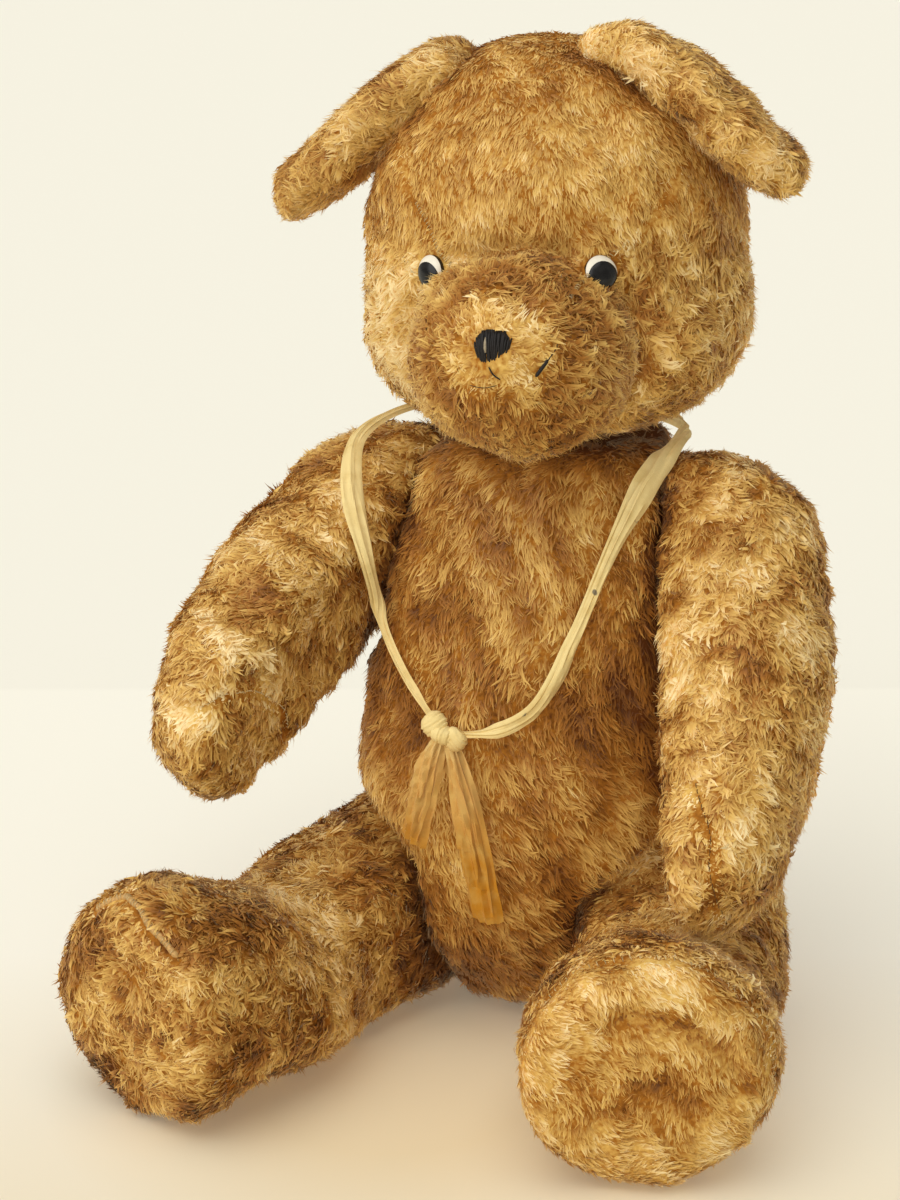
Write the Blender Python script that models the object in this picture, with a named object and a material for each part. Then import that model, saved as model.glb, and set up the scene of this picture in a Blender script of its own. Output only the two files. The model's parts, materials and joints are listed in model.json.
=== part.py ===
"""An old plush teddy bear, sitting, with a ribbon tied round its neck.

The body, head, arms and legs are stuffed plush shells. The head, the arms and the legs each turn on
a disc joint: a hardboard disc and a washer on either side of the two shells, held by one cotter pin.
The bear faces -Y, its own left side is +X, and the origin is the middle of the flat seat under it.
All lengths are in metres.
"""
from math import cos, pi, radians, sin, tau

import bmesh
import bpy
import numpy as np
from mathutils import Matrix, Vector

GAP = 0.0003
SIDES = 24
TORSO_SIDES = 64

# Outlines of the stuffed parts. Each row is one cross-section; the shape runs smoothly through them.
# Torso: height, how far back its middle lies, half its width, half its depth.
TORSO_SECTIONS = (
    (0.000, 0.004, 0.034, 0.034),
    (0.006, 0.003, 0.052, 0.050),
    (0.030, 0.001, 0.077, 0.072),
    (0.065, 0.000, 0.098, 0.088),
    (0.110, 0.001, 0.107, 0.094),
    (0.160, 0.004, 0.105, 0.092),
    (0.210, 0.009, 0.096, 0.084),
    (0.255, 0.014, 0.082, 0.073),
    (0.284, 0.017, 0.066, 0.059),
    (0.294, 0.018, 0.048, 0.045),
)
# Arm: distance from the shoulder joint towards the paw, sideways bend, half its width, its thickness.
ARM_SECTIONS = (
    (-0.042, 0.000, 0.018, 0.042),
    (-0.031, 0.000, 0.032, 0.068),
    (-0.008, 0.000, 0.039, 0.084),
    (0.040, 0.001, 0.041, 0.089),
    (0.090, 0.001, 0.042, 0.086),
    (0.135, 0.000, 0.041, 0.075),
    (0.172, -0.001, 0.037, 0.063),
    (0.196, -0.002, 0.023, 0.042),
)
ARM_ENDS = (-0.046, 0.203)
ARM_FLAT_DEPTH = 0.011
# Leg: distance from the hip joint towards the sole, height of its middle, half its height, thickness.
LEG_SECTIONS = (
    (-0.044, 0.000, 0.022, 0.070),
    (-0.034, 0.000, 0.038, 0.098),
    (-0.010, 0.000, 0.047, 0.110),
    (0.050, -0.006, 0.045, 0.115),
    (0.105, -0.012, 0.041, 0.114),
    (0.142, -0.009, 0.043, 0.113),
    (0.174, -0.001, 0.053, 0.117),
    (0.200, 0.003, 0.057, 0.120),
    (0.217, 0.004, 0.055, 0.114),
    (0.225, 0.004, 0.044, 0.092),
)
LEG_ENDS = (-0.048, 0.229)
LEG_FLAT_DEPTH = 0.014
THIGH_FLAT, THIGH_RAMP = 0.098, 0.05
INNER_BULGE = 0.006

# Joints: where each disc joint sits on the torso, and how its axis and its limb are turned.
NECK = Vector((0.0, 0.018, 0.2945))
NECK_LEAN = radians(6)
HEAD_TURN = radians(5)
HEAD_ROLL = radians(4)
SHOULDER = {"left": Vector((0.061, 0.0, 0.243)), "right": Vector((-0.061, 0.0, 0.243))}
SHOULDER_RISE = {"left": radians(8), "right": radians(5)}
SHOULDER_SPLAY = radians(12)
ARM_SWING = {"left": radians(44.5), "right": radians(67)}
HIP = {"left": Vector((0.0225, 0.005, 0.0530)), "right": Vector((-0.0195, -0.022, 0.0530))}
HIP_RISE = radians(1.5)
HIP_SPLAY = {"left": radians(15), "right": radians(19.5)}

# The torso keeps to the hip joint's plane within reach of the turning thigh and swells past it beyond.
THIGH_REACH, SWELL_START, SWELL_SLOPE = 0.0560, 0.003, 2.4
THIGH_TOP, THIGH_FALL = 0.052, 0.2

# Head, measured from the neck joint: centre and half sizes of the round forms it blends.
HEAD_FORMS = (
    ((0.000, 0.000, 0.106), (0.092, 0.092, 0.087)),
    ((0.000, -0.004, 0.053), (0.094, 0.085, 0.056)),
    ((0.003, -0.083, 0.050), (0.049, 0.058, 0.043)),
)
HEAD_BLEND = 0.10
HEAD_MIDDLE = Vector((0.0, -0.030, 0.090))

# Ears, measured like the head: each one's middle line from root to tip, then half the breadth and the
# thickness of the flap along it, and how far its back edge hangs below its front edge.
EAR_ROUTES = {
    "left": (
        (0.018, -0.010, 0.180), (0.037, -0.013, 0.187), (0.059, -0.016, 0.177),
        (0.080, -0.018, 0.160), (0.099, -0.019, 0.143), (0.119, -0.020, 0.129),
    ),
    "right": (
        (-0.028, -0.010, 0.173), (-0.050, -0.013, 0.178), (-0.071, -0.016, 0.167),
        (-0.090, -0.018, 0.151), (-0.110, -0.019, 0.134), (-0.129, -0.020, 0.121),
    ),
}
EAR_HALF = (0.016, 0.025, 0.031, 0.033, 0.031, 0.022)
EAR_THICK = (0.012, 0.017, 0.019, 0.020, 0.019, 0.014)
EAR_TILT = {"left": radians(14), "right": radians(-4)}
EYE_PLACE = Vector((0.0405, 0.0, 0.0875))
EYE_RADIUS, EYE_RIM, EYE_DOME = 0.008, 0.0012, 0.0042
NOSE_PLACE = Vector((0.004, 0.0, 0.059))
NOSE_HALF = (0.011, 0.005, 0.010)
NOSE_TAPER = 0.25

# Disc joints.
DISC_RADIUS = {"neck": 0.030, "shoulder": 0.023, "hip": 0.026}
DISC_THICKNESS = 0.003
WALL = 0.003
WASHER_RADIUS = 0.008
WASHER_THICKNESS = 0.0012
WIRE_RADIUS = 0.0009
PIN_HOLE = 0.0026
PIN_EYE = 0.0028
PIN_END = 0.0014
PIN_BEND = 0.0022
PIN_CLENCH = 0.0050
POCKET_DEPTH = 0.0115
POCKET_MOUTH = 0.002

# Ribbon: the route of its loop from behind the neck, down the right side to the knot and back up.
RIBBON_HALF = (0.0042, 0.0014)
RIBBON_LOOP = (
    (0.000, 0.081, 0.285),
    (-0.036, 0.071, 0.289),
    (-0.064, 0.045, 0.294),
    (-0.084, 0.014, 0.295),
    (-0.096, -0.013, 0.289),
    (-0.088, -0.046, 0.275),
    (-0.070, -0.070, 0.243),
    (-0.065, -0.062, 0.209),
    (-0.048, -0.076, 0.190),
    (-0.018, -0.092, 0.166),
    (0.020, -0.087, 0.180),
    (0.033, -0.077, 0.204),
    (0.043, -0.064, 0.235),
    (0.050, -0.047, 0.262),
    (0.058, -0.018, 0.286),
    (0.062, 0.012, 0.294),
    (0.056, 0.045, 0.292),
    (0.034, 0.071, 0.289),
)
KNOT_HALF = (0.011, 0.006, 0.009)
TAIL_HALF = (0.0085, 0.0016)
TAIL_ROUTES = {
    "left_end": (
        (-0.019, -0.091, 0.164), (-0.024, -0.092, 0.152), (-0.029, -0.095, 0.128), (-0.034, -0.092, 0.101),
    ),
    "right_end": (
        (-0.015, -0.091, 0.163), (-0.009, -0.094, 0.152), (-0.001, -0.098, 0.115), (0.005, -0.093, 0.065),
    ),
}


def clear_scene():
    for item in list(bpy.data.objects):
        bpy.data.objects.remove(item, do_unlink=True)


def material(name, colour, roughness, metallic=0.0):
    made = bpy.data.materials.get(name)
    if made:
        return made
    made = bpy.data.materials.new(name)
    made.use_nodes = True
    shader = made.node_tree.nodes["Principled BSDF"]
    shader.inputs["Base Color"].default_value = (*colour, 1.0)
    shader.inputs["Roughness"].default_value = roughness
    shader.inputs["Metallic"].default_value = metallic
    return made


def plush():
    return material("plush", (0.48, 0.30, 0.12), 0.95)


def hardboard():
    return material("hardboard", (0.28, 0.17, 0.09), 0.8)


def steel():
    return material("steel", (0.55, 0.55, 0.56), 0.4, 1.0)


def place(name, mesh, finish, parent=None):
    item = bpy.data.objects.new(name, mesh)
    bpy.context.scene.collection.objects.link(item)
    mesh.materials.append(finish)
    item.parent = parent
    return item


def axis_frame(name, origin, normal, forward, parent=None):
    """An empty whose Z axis is a joint's axis and whose X axis points along the limb."""
    z = normal.normalized()
    x = (forward - z * forward.dot(z)).normalized()
    turn = Matrix((x, z.cross(x), z)).transposed().to_4x4()
    item = bpy.data.objects.new(name, None)
    bpy.context.scene.collection.objects.link(item)
    item.parent = parent
    item.matrix_world = Matrix.Translation(origin) @ turn
    return item


def through(rows, count, closed=False):
    """Read a smooth curve through the rows at an even spacing."""
    rows = np.array(rows, dtype=float)
    if closed:
        rows = np.concatenate([rows[-3:], rows, rows[:3]])
    steps = np.linalg.norm(np.diff(rows, axis=0), axis=1)
    at = np.concatenate([[0.0], np.cumsum(steps)])
    slope = np.gradient(rows, at, axis=0)
    start, stop = (at[3], at[-3]) if closed else (0.0, at[-1])
    places = np.linspace(start, stop, count, endpoint=not closed)
    index = np.clip(np.searchsorted(at, places, side="right") - 1, 0, len(rows) - 2)
    span = (at[index + 1] - at[index])[:, None]
    t = (places - at[index])[:, None] / span
    a, b = rows[index], rows[index + 1]
    ma, mb = slope[index] * span, slope[index + 1] * span
    t2, t3 = t * t, t * t * t
    return (2 * t3 - 3 * t2 + 1) * a + (t3 - 2 * t2 + t) * ma + (3 * t2 - 2 * t3) * b + (t3 - t2) * mb


def rings_mesh(name, rings, ends=None):
    """Join rings of points into one closed skin: capped with two end points, or run round in a loop."""
    sides, count = len(rings[0]), len(rings)
    points = [tuple(point) for ring in rings for point in ring]
    faces = []
    for ring in range(count if ends is None else count - 1):
        for k in range(sides):
            a, b = ring * sides, (ring + 1) % count * sides
            faces.append((a + k, a + (k + 1) % sides, b + (k + 1) % sides, b + k))
    if ends is not None:
        points += [tuple(end) for end in ends]
        first, last, top = count * sides, count * sides + 1, (count - 1) * sides
        for k in range(sides):
            faces.append(((k + 1) % sides, k, first))
            faces.append((top + k, top + (k + 1) % sides, last))
    mesh = bpy.data.meshes.new(name)
    mesh.from_pydata(points, [], faces)
    outward(mesh)
    return mesh


def outward(mesh):
    """Split the faces into triangles, so pushed ones stay flat, and turn them all to face out."""
    shape = bmesh.new()
    shape.from_mesh(mesh)
    bmesh.ops.triangulate(shape, faces=shape.faces, quad_method="FIXED")
    bmesh.ops.recalc_face_normals(shape, faces=shape.faces)
    shape.to_mesh(mesh)
    shape.free()


def ellipse(middle, across, up, half_across, half_up, sides=SIDES):
    turns = np.arange(sides) * tau / sides
    return [middle + across * half_across * cos(t) + up * half_up * sin(t) for t in turns]


def circle(radius, height, sides=SIDES):
    turns = np.arange(sides) * tau / sides
    return [(radius * cos(t), radius * sin(t), height) for t in turns]


def lathe(name, profile, sides=SIDES):
    """Turn a profile of (radius, height) points round the Z axis; a closed profile makes a ring."""
    return rings_mesh(name, [circle(r, z, sides) for r, z in profile])


def cut(target, cutter_mesh, matrix):
    """Take a shape out of a solid and keep the result as the solid's own mesh."""
    cutter = bpy.data.objects.new(target.name + "_cutter", cutter_mesh)
    bpy.context.scene.collection.objects.link(cutter)
    cutter.matrix_world = matrix
    step = target.modifiers.new("cut", "BOOLEAN")
    step.operation, step.solver, step.object = "DIFFERENCE", "EXACT", cutter
    settle(target)
    bpy.data.objects.remove(cutter, do_unlink=True)


def settle(item):
    """Turn an object's modifiers into plain mesh."""
    bpy.context.view_layer.update()
    ready = item.evaluated_get(bpy.context.evaluated_depsgraph_get())
    mesh = bpy.data.meshes.new_from_object(ready)
    item.modifiers.clear()
    item.data = mesh


def joint_side(name):
    return 1 if name == "left" else -1


def neck_normal():
    return Vector((0.0, sin(NECK_LEAN), cos(NECK_LEAN)))


def shoulder_normal(name):
    rise = SHOULDER_RISE[name]
    level = Vector((joint_side(name) * cos(SHOULDER_SPLAY), sin(SHOULDER_SPLAY), 0.0))
    return level * cos(rise) + Vector((0.0, 0.0, sin(rise)))


def hip_normal(name):
    level = Vector((joint_side(name) * cos(HIP_SPLAY[name]), sin(HIP_SPLAY[name]), 0.0))
    return level * cos(HIP_RISE) + Vector((0.0, 0.0, sin(HIP_RISE)))


def make_joint_frames():
    """One empty on each joint axis: Z points from the torso out into the part that turns."""
    frames = {"neck": axis_frame("neck_axis", NECK, neck_normal(), Vector((1.0, 0.0, 0.0)))}
    for name in ("left", "right"):
        hang = Vector((0.0, -sin(ARM_SWING[name]), -cos(ARM_SWING[name])))
        frames["shoulder_" + name] = axis_frame(
            "shoulder_axis_" + name, SHOULDER[name], shoulder_normal(name), hang)
        ahead = Vector((joint_side(name) * sin(HIP_SPLAY[name]), -cos(HIP_SPLAY[name]), 0.0))
        frames["hip_" + name] = axis_frame("hip_axis_" + name, HIP[name], hip_normal(name), ahead)
    bpy.context.view_layer.update()
    return frames


def make_torso():
    rows = through(TORSO_SECTIONS, 36)
    x, y = np.array((1.0, 0.0, 0.0)), np.array((0.0, 1.0, 0.0))
    rings = [ellipse(np.array((0.0, back, z)), x, y, wide, deep, TORSO_SIDES) for z, back, wide, deep in rows]
    ends = (np.array((0.0, rows[0, 1], 0.0)), np.array((0.0, rows[-1, 1], rows[-1, 0])))
    mesh = rings_mesh("torso", rings, ends)
    press(mesh, NECK, neck_normal(), neck_normal())
    for name in ("left", "right"):
        press(mesh, SHOULDER[name], shoulder_normal(name), shoulder_normal(name))
        press(mesh, HIP[name], hip_normal(name), Vector((joint_side(name), 0.0, 0.0)), thigh_room)
    return place("torso", mesh, plush())


def thigh_room(offset):
    """How far the torso may stand past a hip joint's plane: nothing where the thigh lies or can turn to."""
    if offset.y > 0.0:
        past = Vector((offset.y, max(offset.z, 0.0))).length - THIGH_REACH
    else:
        past = min(offset.yz.length - THIGH_REACH, offset.z - THIGH_TOP - THIGH_FALL * offset.y)
    past = max(past, 0.0)
    return SWELL_SLOPE * past * past / (past + SWELL_START)


def press(mesh, origin, normal, slide, room=lambda offset: 0.0):
    """Push whatever stands past a joint's plane back to it, as stuffed shells flatten together."""
    for vertex in mesh.vertices:
        offset = vertex.co - origin
        past = offset.dot(normal) + GAP - room(offset)
        if past > 0.0:
            vertex.co -= slide * past / slide.dot(normal)


def limb_mesh(name, sections, ends, flat_depth, bulge=0.0, flip=False):
    """A limb lying along X, with its flat inner side on the joint's plane, bulging past it further on."""
    rows = through(sections, 20)
    half = rows[:, 3] / 2
    beyond = np.clip((rows[:, 0] - THIGH_FLAT) / THIGH_RAMP, 0.0, 1.0)
    bend = -rows[:, 1] if flip else rows[:, 1]
    middles = np.stack([rows[:, 0], bend, half - flat_depth - bulge * beyond], axis=1)
    along = np.gradient(middles[:, :2], axis=0)
    along /= np.linalg.norm(along, axis=1)[:, None]
    up = np.array((0.0, 0.0, 1.0))
    rings = [
        ellipse(middle, np.array((-d[1], d[0], 0.0)), up, wide, high)
        for middle, d, wide, high in zip(middles, along, rows[:, 2], half)
    ]
    tips = [np.array((ends[0], *middles[0, 1:])), np.array((ends[1], *middles[-1, 1:]))]
    mesh = rings_mesh(name, rings, tips)
    for vertex in mesh.vertices:
        ramp = min(max((vertex.co.x - THIGH_FLAT) / THIGH_RAMP, 0.0), 1.0) if bulge else 0.0
        vertex.co.z = max(vertex.co.z, GAP - (2 * bulge + flat_depth) * ramp)
    return mesh


def make_limbs(frames):
    limbs = {}
    for name in ("left", "right"):
        arm = limb_mesh("arm_" + name, ARM_SECTIONS, ARM_ENDS, ARM_FLAT_DEPTH)
        limbs["shoulder_" + name] = place("arm_" + name, arm, plush(), frames["shoulder_" + name])
        leg = limb_mesh("leg_" + name, LEG_SECTIONS, LEG_ENDS, LEG_FLAT_DEPTH, INNER_BULGE, name == "left")
        limbs["hip_" + name] = place("leg_" + name, leg, plush(), frames["hip_" + name])
    return limbs


def head_reach(direction, swell=0.0):
    """How far the head's surface lies from its middle in one direction."""
    low, high = 0.0, 0.25
    for _ in range(40):
        reach = (low + high) / 2
        point = HEAD_MIDDLE + direction * reach
        near = 0.0
        for centre, half in HEAD_FORMS:
            scaled = Vector([(point[i] - centre[i]) / half[i] for i in range(3)])
            near += np.exp(-(scaled.length - 1.0) / HEAD_BLEND)
        if near > 1.0:
            low = reach
        else:
            high = reach
    return low + swell


def head_pose():
    return (Matrix.Rotation(HEAD_TURN, 3, "Z") @ Matrix.Rotation(-HEAD_ROLL, 3, "Y")).to_4x4()


def head_mesh(name, swell=0.0):
    shape = bmesh.new()
    bmesh.ops.create_uvsphere(shape, u_segments=28, v_segments=22, radius=1.0)
    turn = Matrix.Rotation(radians(90), 3, "X")
    for vertex in shape.verts:
        direction = (turn @ vertex.co).normalized()
        vertex.co = HEAD_MIDDLE + direction * head_reach(direction, swell)
    bmesh.ops.transform(shape, matrix=head_pose(), verts=shape.verts)
    for vertex in shape.verts:
        vertex.co.z = max(vertex.co.z, GAP - swell)
    bmesh.ops.triangulate(shape, faces=shape.faces, quad_method="FIXED")
    bmesh.ops.recalc_face_normals(shape, faces=shape.faces)
    mesh = bpy.data.meshes.new(name)
    shape.to_mesh(mesh)
    shape.free()
    return mesh


def make_head(neck):
    return place("head", head_mesh("head"), plush(), neck)


def make_ear(name, neck):
    """A flat drooping flap sewn on at its root."""
    rows = through([(*p, *w) for p, w in zip(EAR_ROUTES[name], zip(EAR_HALF, EAR_THICK))], 14)
    middles = rows[:, :3]
    breadth = (0.0, cos(EAR_TILT[name]), -sin(EAR_TILT[name]))
    along = np.gradient(middles, axis=0)
    along /= np.linalg.norm(along, axis=1)[:, None]
    rings = []
    for middle, d, half, thick in zip(middles, along, rows[:, 3], rows[:, 4]):
        across = np.cross(d, np.cross(breadth, d))
        across /= np.linalg.norm(across)
        rings.append(ellipse(middle, across, np.cross(d, across), half, thick / 2, 16))
    mesh = rings_mesh("ear_" + name, rings, (middles[0] - along[0] * 0.002, middles[-1] + along[-1] * 0.003))
    mesh.transform(head_pose())
    ear = place("ear_" + name, mesh, plush(), neck)
    cut(ear, head_mesh("ear_seat", GAP), neck.matrix_world)
    return ear


def on_head(x, z):
    """The point of the head's surface in front of (x, z), and the direction straight out of it."""
    low, high = 0.0, 0.2
    for _ in range(30):
        y = -(low + high) / 2
        offset = Vector((x, y, z)) - HEAD_MIDDLE
        if offset.length < head_reach(offset.normalized()):
            low = -y
        else:
            high = -y
    point = Vector((x, -low, z))
    step = 0.004
    slopes = []
    for dx, dz in ((step, 0.0), (0.0, step)):
        offset = Vector((x + dx, -low, z + dz)) - HEAD_MIDDLE
        slopes.append((offset.length - head_reach(offset.normalized())) / step)
    return point, Vector((slopes[0], -1.0, slopes[1])).normalized()


def make_eye(name, neck):
    """A domed button with a flat back, lying on the plush."""
    point, out = on_head(joint_side(name) * EYE_PLACE.x, EYE_PLACE.z)
    arc = [(EYE_RADIUS * cos(a), EYE_RIM + EYE_DOME * sin(a)) for a in np.linspace(0.0, 0.45 * pi, 6)]
    profile = [(EYE_RADIUS * 0.9, 0.0), *arc]
    rings = [circle(r, z, 20) for r, z in profile]
    mesh = rings_mesh("eye_" + name, rings, ((0.0, 0.0, 0.0), (0.0, 0.0, EYE_RIM + EYE_DOME)))
    turn = out.to_track_quat("Z", "Y").to_matrix().to_4x4()
    mesh.transform(head_pose() @ Matrix.Translation(point) @ turn)
    eye = place("eye_" + name, mesh, material("button", (0.02, 0.018, 0.016), 0.25), neck)
    cut(eye, head_mesh("eye_seat", GAP), neck.matrix_world)
    return eye


def make_nose(neck):
    """The pad of close stitches at the tip of the muzzle."""
    point, _ = on_head(NOSE_PLACE.x, NOSE_PLACE.z)
    shape = bmesh.new()
    bmesh.ops.create_uvsphere(shape, u_segments=16, v_segments=10, radius=1.0)
    for vertex in shape.verts:
        taper = 1.0 - NOSE_TAPER + NOSE_TAPER * vertex.co.z
        spot = vertex.co * Vector((NOSE_HALF[0] * taper, *NOSE_HALF[1:]))
        vertex.co = head_pose() @ (point + spot)
    bmesh.ops.recalc_face_normals(shape, faces=shape.faces)
    mesh = bpy.data.meshes.new("nose_stitching")
    shape.to_mesh(mesh)
    shape.free()
    nose = place("nose_stitching", mesh, material("nose_thread", (0.02, 0.017, 0.015), 0.7), neck)
    cut(nose, head_mesh("nose_seat", GAP), neck.matrix_world)
    return nose


def tube(name, route, wide, high, sides, closed=False):
    """A flattened cord along a route; its flat side keeps facing away from the bear's middle."""
    route = np.array(route)
    if closed:
        along = np.roll(route, -1, axis=0) - np.roll(route, 1, axis=0)
    else:
        along = np.gradient(route, axis=0)
    along /= np.linalg.norm(along, axis=1)[:, None]
    rings = []
    for point, d in zip(route, along):
        away = np.array((point[0], point[1] - 0.01, 0.04))
        away -= d * away.dot(d)
        away /= np.linalg.norm(away)
        rings.append(ellipse(point, np.cross(d, away), away, wide, high, sides))
    ends = None if closed else (route[0] - along[0] * high, route[-1] + along[-1] * high)
    return rings_mesh(name, rings, ends)


def make_ribbon():
    """One length of ribbon: the loop, the knot on the chest and the two hanging ends, in one body."""
    cotton = material("ribbon_cotton", (0.72, 0.56, 0.28), 0.85)
    loop = tube("neck_ribbon", through(RIBBON_LOOP, 56, closed=True), *RIBBON_HALF, 8, closed=True)
    ribbon = place("neck_ribbon", loop, cotton)
    knot = bmesh.new()
    bmesh.ops.create_uvsphere(knot, u_segments=14, v_segments=9, radius=1.0)
    middle = Vector(RIBBON_LOOP[9])
    for vertex in knot.verts:
        vertex.co = middle + Vector([vertex.co[i] * KNOT_HALF[i] for i in range(3)])
    bmesh.ops.recalc_face_normals(knot, faces=knot.faces)
    mesh = bpy.data.meshes.new("knot")
    knot.to_mesh(mesh)
    knot.free()
    join(ribbon, mesh)
    for name, route in TAIL_ROUTES.items():
        join(ribbon, tube(name, through(route, 10), *TAIL_HALF, 8))
    return ribbon


def join(target, mesh):
    """Add a shape to a solid so that they become one body."""
    other = bpy.data.objects.new(target.name + "_addition", mesh)
    bpy.context.scene.collection.objects.link(other)
    step = target.modifiers.new("join", "BOOLEAN")
    step.operation, step.solver, step.object = "UNION", "EXACT", other
    settle(target)
    bpy.data.objects.remove(other, do_unlink=True)


def pocket_profile(radius):
    """Section of the room that a disc, its washer and the pin's end take up, behind its opening."""
    back = WALL + DISC_THICKNESS
    return (
        (PIN_HOLE, -POCKET_MOUTH),
        (PIN_HOLE, WALL - GAP),
        (radius + GAP * 2, WALL - GAP),
        (radius + GAP * 2, back + GAP),
        (WASHER_RADIUS + GAP * 2, back + GAP),
        (WASHER_RADIUS + GAP * 2, back + POCKET_DEPTH),
    )


def pocket_mesh(name, radius):
    rings = [circle(r, z) for r, z in pocket_profile(radius)]
    low, high = pocket_profile(radius)[0][1], pocket_profile(radius)[-1][1]
    return rings_mesh(name, rings, ((0.0, 0.0, low), (0.0, 0.0, high)))


def pin_route():
    """The wire of a cotter pin: out of one clenched end, through the stack, round the eye and back."""
    grip = WALL + DISC_THICKNESS + WASHER_THICKNESS
    leg = WIRE_RADIUS + GAP / 2
    low, high = -grip - PIN_END, grip + PIN_END
    clench = [
        (leg + PIN_CLENCH, 0.0, low - GAP),
        (leg + PIN_BEND, 0.0, low - 2 * GAP),
        (leg + 2 * GAP, 0.0, low),
    ]
    rise = [(leg, 0.0, low + 0.001), (leg, 0.0, 0.0), (leg, 0.0, high)]
    centre = high + PIN_EYE * 1.3
    turns = np.linspace(-0.30 * pi, 0.5 * pi, 5)
    eye = [(PIN_EYE * cos(a), 0.0, centre + PIN_EYE * sin(a)) for a in turns]
    half = clench + rise + eye
    return half + [(-x, y, z) for x, y, z in reversed(half[:-1])]


def make_pin(name, frame):
    route = np.array(pin_route())
    along = np.gradient(route, axis=0)
    along /= np.linalg.norm(along, axis=1)[:, None]
    up = np.array((0.0, 1.0, 0.0))
    rings = [ellipse(p, np.cross(up, d), up, WIRE_RADIUS, WIRE_RADIUS, 6) for p, d in zip(route, along)]
    ends = (route[0] - along[0] * GAP, route[-1] + along[-1] * GAP)
    return place(name, rings_mesh(name, rings, ends), steel(), frame)


def ring_mesh(name, inner, outer, low, high, sides):
    return lathe(name, ((inner, low), (outer, low), (outer, high), (inner, high)), sides)


def make_disc_joint(kind, label, frame, torso, limb):
    """A disc and washer in pockets on either side of the plane, and the pin through them."""
    radius = DISC_RADIUS[kind]
    face_about = Matrix.Rotation(pi, 4, "X")
    for where, solid, turn in (("body", torso, face_about), ("limb", limb, Matrix())):
        cut(solid, pocket_mesh("pocket", radius), frame.matrix_world @ turn)
        back = WALL + DISC_THICKNESS
        disc = ring_mesh("disc", PIN_HOLE, radius, WALL, back, SIDES)
        top = back + WASHER_THICKNESS
        washer = ring_mesh("washer", PIN_HOLE - GAP / 2, WASHER_RADIUS, back + GAP, top, 16)
        for mesh, base, finish in ((disc, "disc", hardboard()), (washer, "washer", steel())):
            mesh.transform(turn)
            outward(mesh)
            place(f"{base}_{label}_{where}", mesh, finish, frame)
    make_pin("cotter_pin_" + label, frame)


def main():
    clear_scene()
    frames = make_joint_frames()
    torso = make_torso()
    limbs = make_limbs(frames)
    limbs["neck"] = make_head(frames["neck"])
    for name in ("left", "right"):
        make_ear(name, frames["neck"])
        make_eye(name, frames["neck"])
    make_nose(frames["neck"])
    make_ribbon()
    for label, limb in limbs.items():
        make_disc_joint(label.split("_")[0], label, frames[label], torso, limb)


main()
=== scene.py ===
"""Old mohair teddy bear: stuffed skins, pile, buttons, stitches, ribbon and a plain studio."""
import json
from math import cos, radians, sin, tau

import bmesh
import bpy
import numpy as np
from bpy.props import FloatProperty, FloatVectorProperty, PointerProperty
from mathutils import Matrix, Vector
from mathutils.bvhtree import BVHTree
from mathutils.kdtree import KDTree


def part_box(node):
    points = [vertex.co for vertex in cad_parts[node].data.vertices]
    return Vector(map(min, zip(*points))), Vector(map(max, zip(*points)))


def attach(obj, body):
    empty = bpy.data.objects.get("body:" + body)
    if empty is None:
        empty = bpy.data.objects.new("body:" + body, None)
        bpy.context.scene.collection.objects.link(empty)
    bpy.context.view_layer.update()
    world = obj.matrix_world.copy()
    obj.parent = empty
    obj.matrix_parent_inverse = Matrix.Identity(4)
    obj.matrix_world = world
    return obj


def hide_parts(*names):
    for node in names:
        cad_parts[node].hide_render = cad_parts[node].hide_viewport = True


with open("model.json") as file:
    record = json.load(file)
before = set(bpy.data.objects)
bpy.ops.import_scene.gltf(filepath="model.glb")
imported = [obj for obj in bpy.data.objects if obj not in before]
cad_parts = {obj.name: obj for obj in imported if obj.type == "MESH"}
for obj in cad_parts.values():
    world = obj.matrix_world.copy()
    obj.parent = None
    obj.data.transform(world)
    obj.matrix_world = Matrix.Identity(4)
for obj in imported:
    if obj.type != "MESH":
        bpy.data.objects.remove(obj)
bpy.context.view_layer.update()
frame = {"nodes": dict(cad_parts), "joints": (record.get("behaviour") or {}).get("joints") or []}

bl_info = {
    "name": "Old Mohair Bear",
    "version": (1, 0, 0),
    "blender": (4, 5, 0),
    "location": "View3D > Sidebar > Bear",
    "description": "Builds an old jointed plush bear with its pile, ribbon and studio",
    "category": "Object",
}

SIDES = ("left", "right")

# Stuffed parts: body each rides on, size of its skin's mesh, triangles of pile.
PARTS = {
    "torso": ("torso", 0.0050, 170000),
    "head": ("head", 0.0045, 190000),
    "ear_left": ("head", 0.0032, 44000),
    "ear_right": ("head", 0.0032, 44000),
    "arm_left": ("arm_left", 0.0045, 92000),
    "arm_right": ("arm_right", 0.0045, 92000),
    "leg_left": ("leg_left", 0.0050, 130000),
    "leg_right": ("leg_right", 0.0050, 130000),
}

# Disc joints: radius of the pocket in each stuffed part, and of the round face that grows no pile.
POCKET_RADIUS = {"neck": 0.0315, "shoulder": 0.0245, "hip": 0.0275}
BARE_RADIUS = {"neck": 0.046, "shoulder": 0.030, "hip": 0.036}
POCKET_DEPTH = 0.026
PIN_RADIUS = 0.0034

# Seams and folds: points on two axes of their part's own frame, laid on its skin along the third.
HEAD_SEAMS = {
    "left": (
        (0.0342, 0.078), (0.0361, 0.0835), (0.0464, 0.095), (0.057, 0.104), (0.066, 0.118), (0.074, 0.138),
    ),
    "right": (
        (-0.0265, 0.088), (-0.034, 0.096), (-0.0426, 0.112),
        (-0.049, 0.121), (-0.056, 0.134), (-0.064, 0.150),
    ),
}
BACK_HEAD_SEAM = ((0.030, 0.165), (0.034, 0.12), (0.032, 0.07), (0.020, 0.02))
BACK_SEAM = ((0.0, 0.015), (0.001, 0.08), (-0.001, 0.16), (0.0, 0.23), (0.0, 0.285))
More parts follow.
